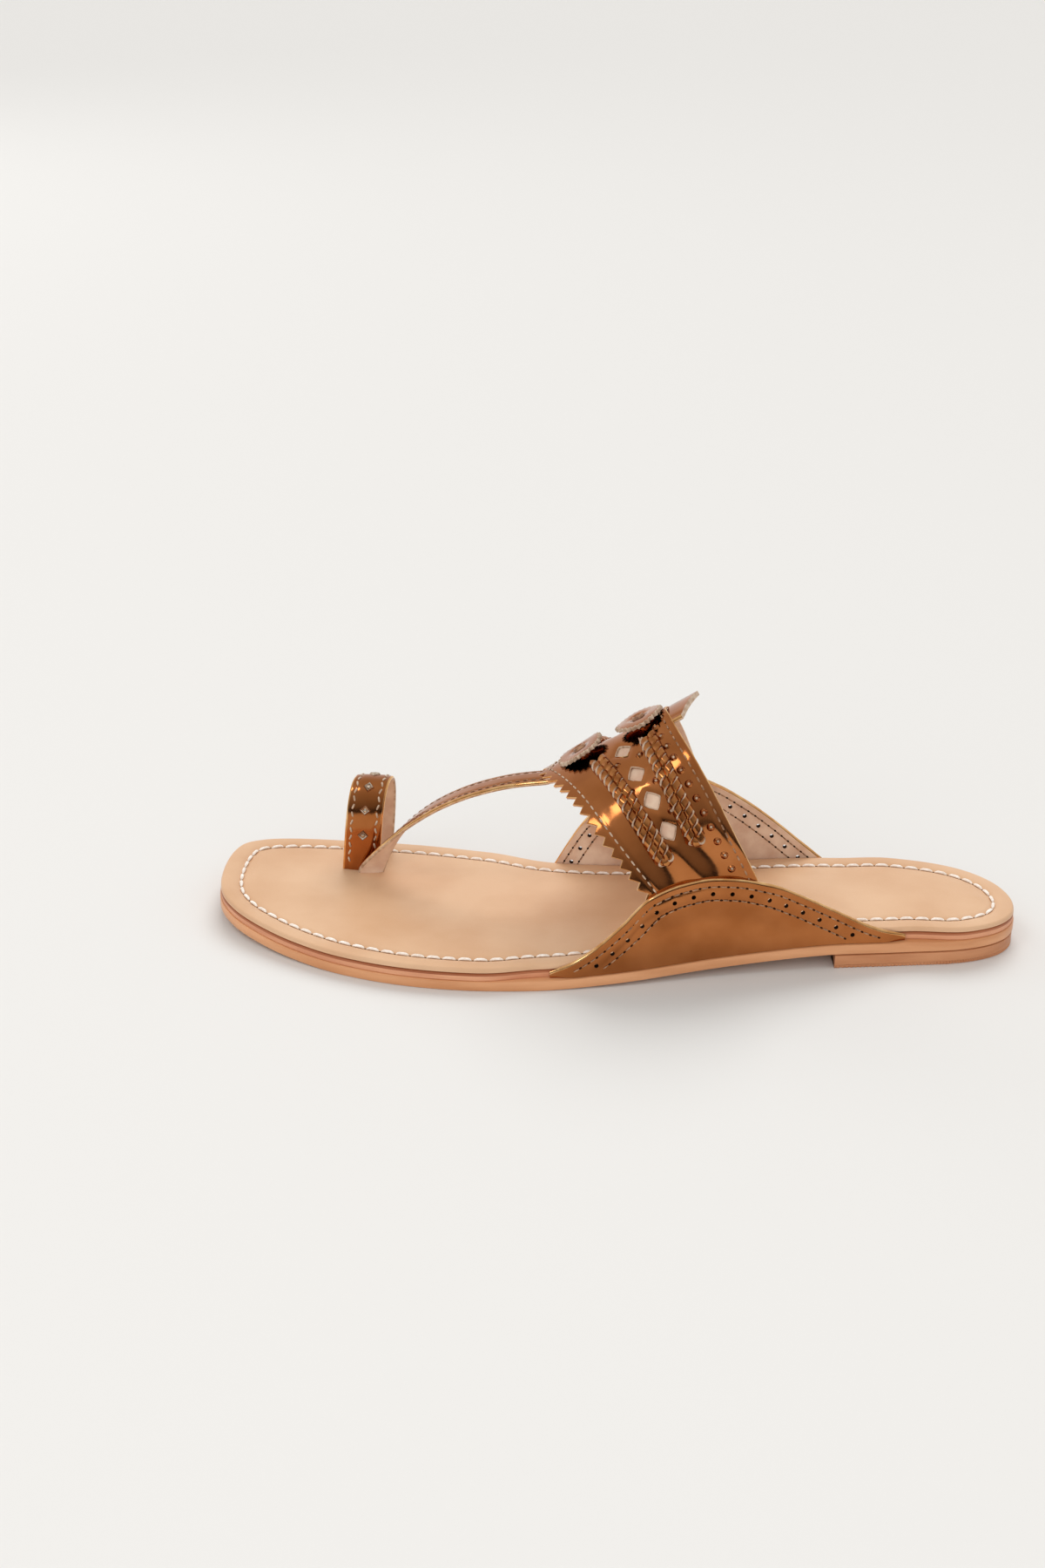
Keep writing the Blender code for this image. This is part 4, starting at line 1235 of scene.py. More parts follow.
@dataclass(frozen=True)
class Band:
    """The instep band: mirror leather over a beige lining, pinked in front."""

    front: float = 0.1500
    rear: float = 0.1110
    sweep: float = 0.0455
    foot_degrees: float = 10.0
    inner: float = 0.0004
    lining: float = 0.0005
    wall: float = 0.0011
    pink_pitch: float = 0.0041
    pink_depth: float = 0.0020
    cutout: float = 0.0054
    stitch_pitch: float = 0.0027
    front_row: float = 0.0038
    rear_row: float = 0.0021
    bump_row: float = 0.0052
    bump_pitch: float = 0.0048
    stitch_width: float = 0.00055
    stitch_height: float = 0.00050
    seam_dip: float = 0.00014
    seam_spread: float = 0.0006
    draw: float = 0.00034
    draw_run: float = 0.0020
    ridge: float = 0.0009
    ridge_spread: float = 0.0060
    rear_rise: float = 0.0018
    rear_rise_run: float = 0.0080
    dent_radius: float = 0.0400
    kite_length: float = 1.15
    row_degrees: float = 16.0
    steps_per_tooth: int = 8
    skin_steps: int = 64
    lining_steps: int = 40

    @property
    def outer(self) -> float:
        """Offset of the outer face."""
        return self.inner + self.wall

    @property
    def cutouts(self) -> tuple[tuple[float, float], ...]:
        """Degrees up and share of the width of each cut-out on one side."""
        return ((79.0, 0.576), (63.3, 0.550), (49.7, 0.540), (37.4, 0.520))

    @property
    def dents(self) -> tuple[Dent, ...]:
        """Troughs and ridges where the band is pulled over the wing."""
        return (Dent(0.72, 26.0, 0.0050, 0.0060, -0.0009), Dent(0.93, 26.0, 0.0035, 0.0080, 0.0006),
                Dent(0.52, 25.0, 0.0030, 0.0070, 0.0006), Dent(0.30, 27.0, 0.0050, 0.0080, -0.0008),
                Dent(0.14, 38.0, 0.0040, 0.0100, 0.0005), Dent(0.20, 62.0, 0.0060, 0.0120, -0.0004),
                Dent(0.56, 56.0, 0.0040, 0.0040, 0.0004), Dent(0.88, 60.0, 0.0040, 0.0100, 0.0004),
                Dent(0.54, 43.5, 0.0040, 0.0036, 0.0004), Dent(0.10, 75.0, 0.0050, 0.0090, 0.0004))

    def edges(self, angle: Array) -> tuple[Array, Array]:
        """Front and rear edge at angles up from the lateral sole edge."""
        rise = np.degrees(angle)
        lateral = rise <= 90.0
        rise = np.minimum(rise, 180.0 - rise)
        swept = [curve_of(BAND_EDGES, k)(rise) for k in range(1, 5)]
        front = LAST.from_heel(self.front) - self.sweep * np.where(lateral, swept[0], swept[2])
        rear = LAST.from_heel(self.rear) - self.sweep * np.where(lateral, swept[1], swept[3])
        return front, rear

    def front_run(self) -> tuple[Array, Array]:
        """Angles along the front edge, and the distance run to each."""
        foot = math.radians(self.foot_degrees)
        fine = np.linspace(foot, math.pi - foot, 800)
        return fine, run_along(LAST.form(self.edges(fine)[0], fine))

    def even_angles(self, count: int) -> Array:
        """Angles that cut the front edge in even steps."""
        fine, run = self.front_run()
        return np.interp(np.linspace(0.0, run[-1], count), run, fine)

    def teeth(self) -> int:
        """How many teeth the front edge has."""
        return int(round(self.front_run()[1][-1] / self.pink_pitch))

    def relief(self, x: Array, angle: Array) -> Array:
        """The ridge over the spine strap, the dents and the seams' dips, as an offset."""
        front, rear = self.edges(angle)
        width = front - rear
        share = (front - x) / width
        ridge = self.ridge + self.hump(x)
        total = ridge * bump_of((angle - math.pi / 2) * LAST.crest_radius, self.ridge_spread)
        for dent in self.dents:
            for flip in (1.0, -1.0):
                middle = math.radians(90.0 - flip * (90.0 - dent.degrees))
                du = (share - dent.share) * width / dent.wide
                dv = (angle - middle) * self.dent_radius / dent.long
                total = total + dent.depth * np.exp(-du * du - dv * dv)
        dips = (bump_of(share * width - self.front_row, self.seam_spread)
                + bump_of((1 - share) * width - self.rear_row, self.seam_spread))
        return total - self.seam_dip * dips

    def hump(self, x: Array) -> Array:
        """How far the spine strap rises where its tail leaves the band."""
        past = (LAST.from_heel(self.rear) + self.rear_rise_run - x) / self.rear_rise_run
        return self.rear_rise * soft_step(past)

    def between_edges(self, angle: Array, share: Array) -> Array:
        """Places along the sole at shares of the way from the front to the rear edge."""
        front, rear = self.edges(angle)
        return front + (rear - front) * share

    def cutout_places(self) -> tuple[Array, Array, Array]:
        """Middle, down direction and normal of every cut-out."""
        angle, share = both_sides(self.cutouts)
        x = self.between_edges(angle, share)
        offset = np.full(len(x), self.outer)
        place = LAST.raised(x, angle, offset)
        lower = angle - np.where(angle < math.pi / 2, 0.05, -0.05)
        below = LAST.raised(self.between_edges(lower, share), lower, offset)
        return place, unit(below - place), LAST.normal(x, angle)

    def pressed(self, points: Array) -> Array:
        """How far the leather is drawn down near the cut-outs."""
        place, down, normal = self.cutout_places()
        across = np.cross(normal, down)
        total = np.zeros(points.shape[:-1])
        half = self.cutout / 2.0
        for k in range(len(place)):
            gap = points - place[k]
            u = np.abs(gap @ down[k]) / self.kite_length
            v = np.abs(gap @ across[k])
            away = np.abs(gap @ normal[k])
            edge = (u + v - half) / 1.3
            fade = 1.0 - soft_step((edge + 0.0002) / self.draw_run)
            total = np.maximum(total, fade * (away < 0.004))
        return total

    def surface(self, share: Array, across: Array, swell: Array, offset: Array) -> Array:
        """Points of the band: across runs from the front to the rear edge."""
        teeth = self.teeth()
        angles = self.even_angles(teeth * 24 + 1)
        angle = np.interp(share, np.linspace(0.0, 1.0, len(angles)), angles)
        front, rear = self.edges(angle)
        phase = np.abs((share * teeth) % 1.0 - 0.5) * 2.0
        tooth = self.pink_depth * phase
        width = front - rear
        fade = np.clip(1.0 - across * width / 0.0030, 0.0, 1.0)
        x = front - width * across - tooth * fade - swell
        extra = self.relief(x, angle)
        flat = LAST.raised(x, angle, offset)
        extra = extra - self.draw * self.pressed(flat)
        return flat + LAST.normal(x, angle) * extra[..., None]

    def row_path(self, inset: float, from_front: bool) -> Array:
        """A path on the band's outer face at an even distance from one edge.

        Args:
            inset: Distance from the edge.
            from_front: True for the front edge, False for the rear one.

        Returns:
            Points of the path.
        """
        low = math.radians(self.row_degrees)
        angle = np.linspace(low, math.pi - low, 500)
        start = self.edges(angle)[0 if from_front else 1]
        path = LAST.form(start, angle)
        inward = np.cross(LAST.normal(start, angle), unit(np.gradient(path, axis=0)))
        wanted = -1.0 if from_front else 1.0
        inward = np.where(inward[:, :1] * wanted < 0, -inward, inward)
        moved = path + inward * inset
        x, turn = moved[:, 0], LAST.angle_at(moved)
        return LAST.raised(x, turn, self.outer + self.relief(x, turn))

    def kites(self) -> list[Piece]:
        """Kite shaped cutters with eased corners."""
        place, down, normal = self.cutout_places()
        cutters = []
        for k in range(len(place)):
            clear_selection()
            bpy.ops.mesh.primitive_cylinder_add(vertices=32, radius=1.0, depth=0.0034)
            cutter = bpy.context.object
            frame_of = np.stack((down[k], np.cross(normal[k], down[k]), normal[k]))
            for vertex in cutter.data.vertices:
                turn = math.atan2(vertex.co.y, vertex.co.x)
                reach = float(self.kite_reach(np.array(turn)))
                local = np.array((reach * math.cos(turn) * self.kite_length,
                                  reach * math.sin(turn), vertex.co.z))
                vertex.co = Vector(place[k] + local @ frame_of)
            cutters.append(cutter)
        return cutters

    def build(self) -> None:
        """Leather, lining, seams, punched bumps and cut-outs."""
        along = np.linspace(0.0, 1.0, self.teeth() * self.steps_per_tooth + 1)
        seam = self.inner + self.lining
        # The band's edges and inner face take the brighter foil, a painted highlight.
        skin = Section.sheet(self.skin_steps, seam, self.outer, edge_slot=2, lining_slot=2)
        leather = sheet_piece("band_leather", along, skin, self.surface, (BRONZE, LINING, FOIL_EDGE_HIGHLIGHT),
                              50.0)
        cut(leather, self.kites())
        smooth(leather, 50.0)
        settle(leather, "bronze_leather", "upper")
        under = Section.sheet(self.lining_steps, self.inner, seam - 0.00002, lining_slot=0)
        lining = sheet_piece("band_lining", along, under, self.surface, (LINING,), 50.0)
        settle(lining, "bronze_leather", "upper")
        model = stitch_model(self.stitch_pitch * 0.72, self.stitch_width, self.stitch_height)
        for row, inset, thread in (("front", self.front_row, CUT),
                                   ("rear", self.rear_row, BROWN_THREAD)):
            places, ahead = even(self.row_path(inset, row == "front"), self.stitch_pitch)
            scattered("band_stitches_" + row, "bronze_leather", model, places,
                      frames_of(ahead, LAST.normals_at(places)), thread)
        places, ahead = even(self.row_path(self.bump_row, False), self.bump_pitch)
        more = self.flanking()
        places = np.concatenate((places, more))
        ahead = np.concatenate((ahead, np.tile(np.array([[1.0, 0.0, 0.0]]), (len(more), 1))))
        model = ring_model(0.00135, 0.00075, 0.00042, 0.00055)
        scattered("band_punched_bumps", "bronze_leather", model, places,
                  frames_of(ahead, LAST.normals_at(places)), BRONZE, CUT)
        places, down, normal = self.cutout_places()
        relief = self.relief(places[:, 0], LAST.angle_at(places))
        places = places + normal * (relief - 0.00030)[:, None]
        frames = np.stack((down, np.cross(normal, down), normal), axis=1)
        scattered("band_cutout_rims", "bronze_leather", self.rim_model(), places, frames, FOIL_EDGE_HIGHLIGHT, CUT)

    def kite_reach(self, turn: Array) -> Array:
        """Distance from the middle to the edge of a cut-out, at turns round it."""
        side = np.abs(np.cos(turn)) ** 1.15 + np.abs(np.sin(turn)) ** 1.15
        return self.cutout / 2.0 / side ** 0.87

    def rim_model(self) -> Model:
        """The bevelled edge of a cut-out, as a ring round it: a painted highlight on its outer
        slope, the pale cut edge over its top and inside.
        """
        steps = ((0.00034, -0.00010), (0.00018, 0.00012), (0.00002, 0.00010),
                 (-0.00010, -0.00012), (-0.00012, -0.00050))
        grow, lift = np.array(column(steps, 0)), np.array(column(steps, 1))

        def place(i: Array, j: Array) -> Array:
            """Points of the ring."""
            turn = 2.0 * math.pi * i / 32
            reach = self.kite_reach(turn) + grow[j]
            return np.stack((reach * np.cos(turn) * self.kite_length, reach * np.sin(turn),
                             lift[j]), axis=-1)

        return prototype(shaped_grid("cutout_rim_model", 32, 4, place, (), (0, 1, 1, 1), False))

    def flanking(self) -> Array:
        """Small bumps on both sides of the gaps between the cut-outs."""
        spots = ((72.0, 0.47), (72.0, 0.66), (56.5, 0.44), (56.5, 0.65), (43.5, 0.42),
                 (43.5, 0.63))
        angle, share = both_sides(spots)
        x = self.between_edges(angle, share)
        return LAST.raised(x, angle, self.outer + self.relief(x, angle))


BAND = Band()


@dataclass(frozen=True)
class Braid:
    """An elongated loop of two twisted rows of lace."""

    side: Side
    row: str
    upper_share: float
    lower_share: float
    lower_degrees: float
    width: float = 0.0060
    top_reach: float = 0.0070
    pitch: float = 0.0056
    helix: float = 0.00092
    lace_wide: float = 0.00215
    lace_thick: float = 0.00155
    lift: float = 0.00090

    def centre(self, count: int = 220) -> tuple[Array, Array]:
        """Middle line of the loop from its upper end down, and its angles."""
        start = math.pi / 2.0 - self.top_reach / LAST.crest_radius
        angle = np.linspace(start, math.radians(self.lower_degrees), count)
        t = np.linspace(0.0, 1.0, count)
        share = self.upper_share + (self.lower_share - self.upper_share) * t
        turned = angle if self.side is Side.LATERAL else math.pi - angle
        return BAND.between_edges(turned, share), turned

    def rope_path(self) -> tuple[Array, Array]:
        """The U shaped path of the rope on the band, and the normals there."""
        x, angle = self.centre()
        path = LAST.form(x, angle)
        along = unit(np.gradient(path, axis=0))
        normal = LAST.normal(x, angle)
        sideways = np.cross(normal, along)
        run = run_along(path)
        half = self.width / 2.0 - self.helix - 0.5 * self.lace_thick
        straight = run[-1] - half
        rows = []
        for sign in (1, -1):
            s = np.linspace(0.0, straight, 160)[::sign]
            rows.append(np.column_stack((s, np.full(160, sign * half))))
        turn = np.linspace(0.0, math.pi, 40)[1:-1]
        bend = np.column_stack((straight + half * np.sin(turn), half * np.cos(turn)))
        flat = np.concatenate((rows[0], bend, rows[1]))
        places = read_at(flat[:, 0], run, path)
        places = places + read_at(flat[:, 0], run, sideways) * flat[:, 1:]
        turned = LAST.angle_at(places)
        out = LAST.normal(places[:, 0], turned)
        relief = BAND.relief(places[:, 0], turned)
        level = LAST.raised(places[:, 0], turned, BAND.outer + self.lift + relief)
        return level, out

    def lace(self, number: int, core: Array, thick: Array) -> None:
        """One lace of the twist.

        Args:
            number: Which of the two it is.
            core: Its middle line.
            thick: Directions through its thickness.
        """
        wide = np.cross(thick, unit(np.gradient(core, axis=0)))
        corners = np.array([(-0.5, 0.0), (-0.42, 0.42), (0.0, 0.5), (0.42, 0.42), (0.5, 0.0),
                            (0.42, -0.42), (0.0, -0.5), (-0.42, -0.42)])

        def place(i: Array, j: Array) -> Array:
            """Points of the lace's section along its path."""
            corner = corners[j % len(corners)]
            return (core[i] + wide[i] * corner[:, :1] * self.lace_wide
                    + thick[i] * corner[:, 1:] * self.lace_thick)

        name = f"braid_{self.side.name.lower()}_{self.row}"
        # The lace takes the brighter foil, a painted highlight on the links, with one pale cut edge.
        piece = shaped_grid(f"{name}_lace_{number}", len(core) - 1, len(corners), place,
                            (LACE, CUT), [1] + [0] * (len(corners) - 1), degrees=60.0)
        settle(piece, "trim_leather", name)

    def build(self) -> None:
        """Two laces twisted round each other along the loop."""
        path, out = self.rope_path()
        run = run_along(path)
        s = np.linspace(0.0, run[-1], int(run[-1] / self.pitch * 16))
        middle = read_at(s, run, path)
        up = unit(read_at(s, run, out))
        across = np.cross(up, unit(np.gradient(middle, axis=0)))
        for strand in range(2):
            turn = 2 * math.pi * s / self.pitch + strand * math.pi
            radial = across * np.cos(turn)[:, None] + up * np.sin(turn)[:, None] * 0.8
            self.lace(strand + 1, middle + radial * self.helix, unit(radial))


@dataclass(frozen=True)
class Rosette:
    """A pinked leather disc held by a knot on the spine strap."""

    name: str
    distance: float
    diameter: float = 0.0163
    wall: float = 0.0011
    teeth: int = 26
    steps_per_tooth: int = 6
    tooth: float = 0.0011
    lift: float = 0.0022
    knot: float = 0.0038
    sag: float = 0.05
    wave: float = 0.00025
    tilt: float = 5.0
    pitch: float = 0.0
    base: float = 0.0022

    def frame(self) -> tuple[Array, Array]:
        """Base point on the band, and the disc's three directions."""
        x = LAST.from_heel(self.distance)
        base = LAST.raised(np.array([x]), np.array([math.pi / 2]), np.array([self.base]))[0]
        slope = math.tan(math.atan(LAST.crest_slope) + math.radians(self.pitch))
        normal = unit(np.array((slope, -math.sin(math.radians(self.tilt)), 1.0)))
        forward = unit(np.array((1.0, 0.0, -slope)))
        return base, np.stack((forward, np.cross(normal, forward), normal))

    def build(self) -> None:
        """The disc, its knot and its cut edge."""
        base, axes = self.frame()
        radius = self.diameter / 2.0
        knot = self.knot / 2.0
        low, high = self.lift, self.lift + self.wall
        # Slot 1, the disc's underside, is near-black painted shade, which the mirror leather below
        # shows as the shadow under the disc.
        profile = ((0.0, 0.0003, 0.0, 0), (knot * 0.7, 0.0003, 0.0, 0), (knot, low, 0.0, 0),
                   (radius * 0.8, low, 0.3, 1), (radius - 0.0002, low, 1.0, 2),
                   (radius, 0.5 * (low + high), 1.0, 2), (radius - 0.0002, high, 1.0, 2),
                   (radius * 0.93, high + 0.00005, 1.0, 0), (radius * 0.84, high + 0.0001, 0.2, 0),
                   (radius * 0.55, high + 0.0002, 0.0, 0),
                   (knot * 1.20, high, 0.0, 0), (knot * 1.12, high - 0.0002, 0.0, 3),
                   (knot, high + 0.0004, 0.0, 3), (knot * 0.86, high + 0.0006, 0.0, 0),
                   (knot * 0.66, high + 0.0004, 0.0, 3), (knot * 0.5, high + 0.0001, 0.0, 3),
                   (knot * 0.3, high + 0.0003, 0.0, 0), (0.0, high + 0.0004, 0.0, 0))
        sides = self.teeth * self.steps_per_tooth
        reach, lifted, share = (np.array(column(profile, k)) for k in range(3))

        def place(i: Array, j: Array) -> Array:
            """Points of the turned and pinked profile."""
            turn = 2.0 * math.pi * i / sides
            phase = np.abs((i / self.steps_per_tooth) % 1.0 - 0.5) * 2.0
            r = reach[j] - self.tooth * phase * share[j]
            sag = self.sag * r * r / radius * np.sin(turn) ** 2
            wave = self.wave * np.sin(turn * 3.0 + self.distance * 900.0) * (r / radius) ** 2
            local = np.stack((r * np.cos(turn), r * np.sin(turn), lifted[j] - sag + wave), axis=-1)
            return base + local @ axes

        piece = shaped_grid(self.name + "_disc", sides, len(profile) - 1, place,
                            (BRONZE, DISC_UNDERSIDE_SHADE, CUT, BROWN_THREAD), [row[3] for row in profile],
                            False, 50.0)
        settle(piece, "trim_leather", self.name)


@dataclass(frozen=True)
class Spine:
    """The strap along the crest: pointed tail, run under the rosettes, thong."""

    wall: float = 0.0015
    width: float = 0.0085
    foot_width: float = 0.0068
    drop: float = 0.0003
    tail_width: float = 0.0130
    tail_length: float = 0.0078
    tail_kick: float = 0.0006
    tail_run: float = 0.0230
    tail_slant: float = 0.0056
    setback: float = 0.0025
    reach: float = 0.0590
    foot_across: float = -0.0056
    twist_done: float = 0.98
    twist_power: float = 5.4
    bow_radius: float = 0.0400
    crown: float = 0.00018
    seam_dip: float = 0.00010
    stitch_width: float = 0.00045
    stitch_height: float = 0.00040
    stitch_pitch: float = 0.0026
    stitch_inset: float = 0.0012
    seam_start: float = 0.36
    seam_end: float = 0.985
    steps_along: int = 300
    steps_across: int = 24

    def stations(self) -> tuple[Array, Array, Array, Array, Array]:
        """Middle points, sideways, normals, widths and bow of the strap."""
        tail_tip = LAST.from_heel(BAND.rear) - self.tail_length
        start = LAST.from_heel(BAND.front) - self.setback
        middle = self.wall / 2.0 - self.drop
        x = np.linspace(tail_tip, start - 0.006, 60)
        past = np.maximum(LAST.from_heel(BAND.rear) - x, 0.0) / self.tail_length
        z = LAST.crest_at(x) + middle * math.hypot(1.0, LAST.crest_slope)
        z = z + self.tail_kick * past + BAND.hump(x)
        back = np.stack((x, np.full_like(x, LAST.crest), z), axis=-1)
        t = np.linspace(0.0, 1.0, 120)
        travel = 1.0 - (1.0 - t) ** 1.6
        foot = self.foot_across - LAST.middle
        floor = LAST.board_bottom(start + self.reach)
        height = LAST.crest_at(start) + middle
        x = start + self.reach * travel
        y = foot + (LAST.crest - foot) * curve_of(THONG, 1)(travel)
        z = floor + (height - floor) * curve_of(THONG, 2)(travel)
        path = np.concatenate((back, np.stack((x, y, z), axis=-1)))
        run = run_along(path)
        s = np.linspace(0.0, run[-1], 260)
        path = read_at(s, run, path)
        soft = softened(path)
        soft[:4], soft[-5:] = path[:4], path[-5:]
        ahead = unit(np.gradient(soft, axis=0))
        wide = np.tile(np.array([[0.0, -1.0, 0.0]]), (len(s), 1))
        wide = unit(wide - ahead * np.sum(wide * ahead, axis=1, keepdims=True))
        normal = np.cross(wide, ahead)
        begin = run[len(back) + 1]
        share = np.clip((s - begin) / (run[-1] - begin), 0.0, 1.0)
        turn = math.pi / 2 * np.clip(share / self.twist_done, 0, 1) ** self.twist_power
        turned = wide * np.cos(turn)[:, None] - normal * np.sin(turn)[:, None]
        normal = normal * np.cos(turn)[:, None] + wide * np.sin(turn)[:, None]
        width = self.width + (self.foot_width - self.width) * share
        blend = soft_step((s - self.tail_run) / 0.003)
        width = self.tail_width + (width - self.tail_width) * blend
        bow = np.clip(1.0 - 3.0 * share, 0.0, 1.0)
        return soft, turned, normal, width, bow

    def surface(self, share: Array, across: Array, swell: Array, offset: Array) -> Array:
        """Points of the strap: across runs from one edge to the other."""
        path, wide, normal, width, bow = self.stations()
        cut_back = self.tail_slant * (1.0 - across) / run_along(path)[-1]
        at = (cut_back + (1.0 - cut_back) * share) * (len(path) - 1)
        index = np.arange(len(path))
        wide_here = read_at(at, index, width)
        side = (across - 0.5) * wide_here + swell
        lift = -read_at(at, index, bow) * side * side / (2.0 * self.bow_radius)
        near = np.minimum(across, 1.0 - across) * wide_here
        crown = self.crown * soft_step(near / 0.003)
        crown = crown - self.seam_dip * bump_of(near - self.stitch_inset, 0.0004)
        lift = lift + crown * (offset > 0)
        return (read_at(at, index, path) + unit(read_at(at, index, wide)) * side[..., None]
                + unit(read_at(at, index, normal)) * (offset + lift)[..., None])

    def build(self) -> None:
        """The strap and its stitched rows on both edges."""
        along = np.linspace(0.0, 1.0, self.steps_along)
        # The edges take the brighter foil, a painted highlight, over a pale cut lower half.
        section = Section.sheet(self.steps_across, -self.wall / 2, self.wall / 2, edge_slot=2,
                                low_slot=3)
        strap = sheet_piece("spine_strap", along, section, self.surface,
                            (BRONZE, LINING, FOIL_EDGE_HIGHLIGHT, CUT), 45.0)
        paint_caps(strap, 3)
        settle(strap, "bronze_leather", "upper")
        model = stitch_model(self.stitch_pitch * 0.72, self.stitch_width, self.stitch_height)
        fine = np.linspace(self.seam_start, self.seam_end, 500)
        inset = self.stitch_inset / self.width
        for number, across in enumerate((inset, 1.0 - inset)):
            places, frames = even_on(self.surface, fine, across, self.wall / 2, self.stitch_pitch)
            scattered(f"spine_stitches_{number + 1}", "bronze_leather", model, places, frames,
                      BROWN_THREAD)


@dataclass(frozen=True)
class ToeLoop:
    """The ring for the big toe, studded and stitched."""

    distance: float = 0.2093
    width: float = 0.0108
    wall: float = 0.0016
    span: float = 0.0172
    height: float = 0.0295
    across: float = -0.0162
    lean: float = 0.0018
    skew: float = 0.0024
    shoulder: float = 0.35
    stitch_inset: float = 0.0014
    stitch_pitch: float = 0.0026
    stitch_width: float = 0.00065
    stitch_height: float = 0.00055
    stitch_lean: float = 0.35
    crown: float = 0.00025
    seam_dip: float = 0.00012
    stud_size: float = 0.0030
    seam_start: float = 0.09
    seam_end: float = 0.91
    steps_along: int = 200
    steps_across: int = 24

    @property
    def stud_places(self) -> tuple[float, ...]:
        """Distances of the studs from the top of the ring, along it."""
        return (-0.0199, -0.0117, -0.0047, 0.0024, 0.0102, 0.0184)

    def centre(self) -> Array:
        """Middle line from the lateral leg over to the medial one."""
        x = LAST.from_heel(self.distance)
        low = float(LAST.board_bottom(x))
        bed = float(LAST.footbed_top(x))
        spring = bed + self.shoulder * self.height
        top = bed + self.height - self.wall / 2.0
        middle = self.across - LAST.middle
        half = self.span / 2.0
        turn = np.linspace(0.0, math.pi, 160)
        out = np.sign(np.cos(turn)) * np.abs(np.cos(turn)) ** 0.72
        rise = spring + (top - spring) * np.sin(turn) ** 0.9
        leg = np.linspace(low, spring, 40)[:-1]
        y = np.concatenate((np.full(39, half), half * out, np.full(39, -half))) + middle
        z = np.concatenate((leg, rise, leg[::-1]))
        path = np.stack((np.full_like(y, x), y, z), axis=-1)
        run = run_along(path)
        return softened(read_at(np.linspace(0.0, run[-1], 240), run, path))

    def surface(self, share: Array, across: Array, swell: Array, offset: Array) -> Array:
        """Points of the ring: across runs from its rear to its front edge."""
        path = self.centre()
        at = share * (len(path) - 1)
        index = np.arange(len(path))
        ahead = unit(np.gradient(path, axis=0))
        normal = np.cross(ahead, np.array([1.0, 0.0, 0.0]))
        place = read_at(at, index, path)
        low, top = LAST.footbed_top(path[0, 0]), path[:, 2].max()
        rise = np.clip((place[..., 2] - low) / (top - low), 0.0, 1.0)
        side = (across - 0.5) * self.width + swell - self.lean * rise
        turned = (self.across - LAST.middle + self.span / 2.0 - place[..., 1]) / self.span
        side = side - self.skew * turned
        near = np.minimum(across, 1.0 - across) * self.width
        lift = self.crown * soft_step(near / 0.003)
        lift = lift - self.seam_dip * bump_of(near - self.stitch_inset, 0.0004)
        lift = lift * (offset > 0)
        moved = place + unit(read_at(at, index, normal)) * (offset + lift)[..., None]
        moved[..., 0] += side
        return moved

    def build(self) -> None:
        """The ring strap, its zigzag stitches and its studs."""
        # The edges take the brighter foil, a painted highlight, over a pale cut lower half.
        section = Section.sheet(self.steps_across, -self.wall / 4, self.wall / 2, edge_slot=2,
                                low_slot=3)
        along = np.linspace(0.0, 1.0, self.steps_along)
        strap = sheet_piece("toe_loop_strap", along, section, self.surface,
                            (BRONZE, LINING, FOIL_EDGE_HIGHLIGHT, CUT), 45.0)
        settle(strap, "bronze_leather", "toe_loop")
        fine = np.linspace(self.seam_start, self.seam_end, 600)
        model = stitch_model(self.stitch_pitch * 0.78, self.stitch_width, self.stitch_height)
        inset = self.stitch_inset / self.width
        for number, across in enumerate((inset, 1.0 - inset)):
            places, frames = even_on(self.surface, fine, across, self.wall / 2, self.stitch_pitch)
            lean = self.stitch_lean * (-1.0) ** np.arange(len(places))[:, None]
            ahead = frames[:, 0] + frames[:, 1] * lean
            scattered(f"toe_loop_stitches_{number + 1}", "bronze_leather", model, places,
                      frames_of(ahead, frames[:, 2]), CUT)
        at = 0.5 + np.array(self.stud_places) / run_along(self.centre())[-1]
        none = np.zeros_like(at)
        level = none + self.wall / 2
        places = self.surface(at, none + 0.5, none, level)
        out = unit(self.surface(at, none + 0.5, none, level + 0.001) - places)
        ahead = unit(self.surface(at + 0.002, none + 0.5, none, level) - places)
        scattered("toe_loop_studs", "bronze_leather", self.stud_model(), places,
                  frames_of(ahead, out), STUD, BRONZE)

    def stud_model(self) -> Model:
        """A lozenge frame with a sunk square pyramid in it."""
        half = self.stud_size / 2.0
        profile = ((half * 1.22, -0.0002, 0), (half * 1.18, 0.0002, 0), (half * 0.95, 0.0006, 0),
                   (half * 0.62, 0.0002, 1), (half * 0.54, 0.00015, 0), (half * 0.40, 0.0003, 0),
                   (0.0, 0.0005, 0))
        return turned_model("stud_model", 4, profile, 20.0)


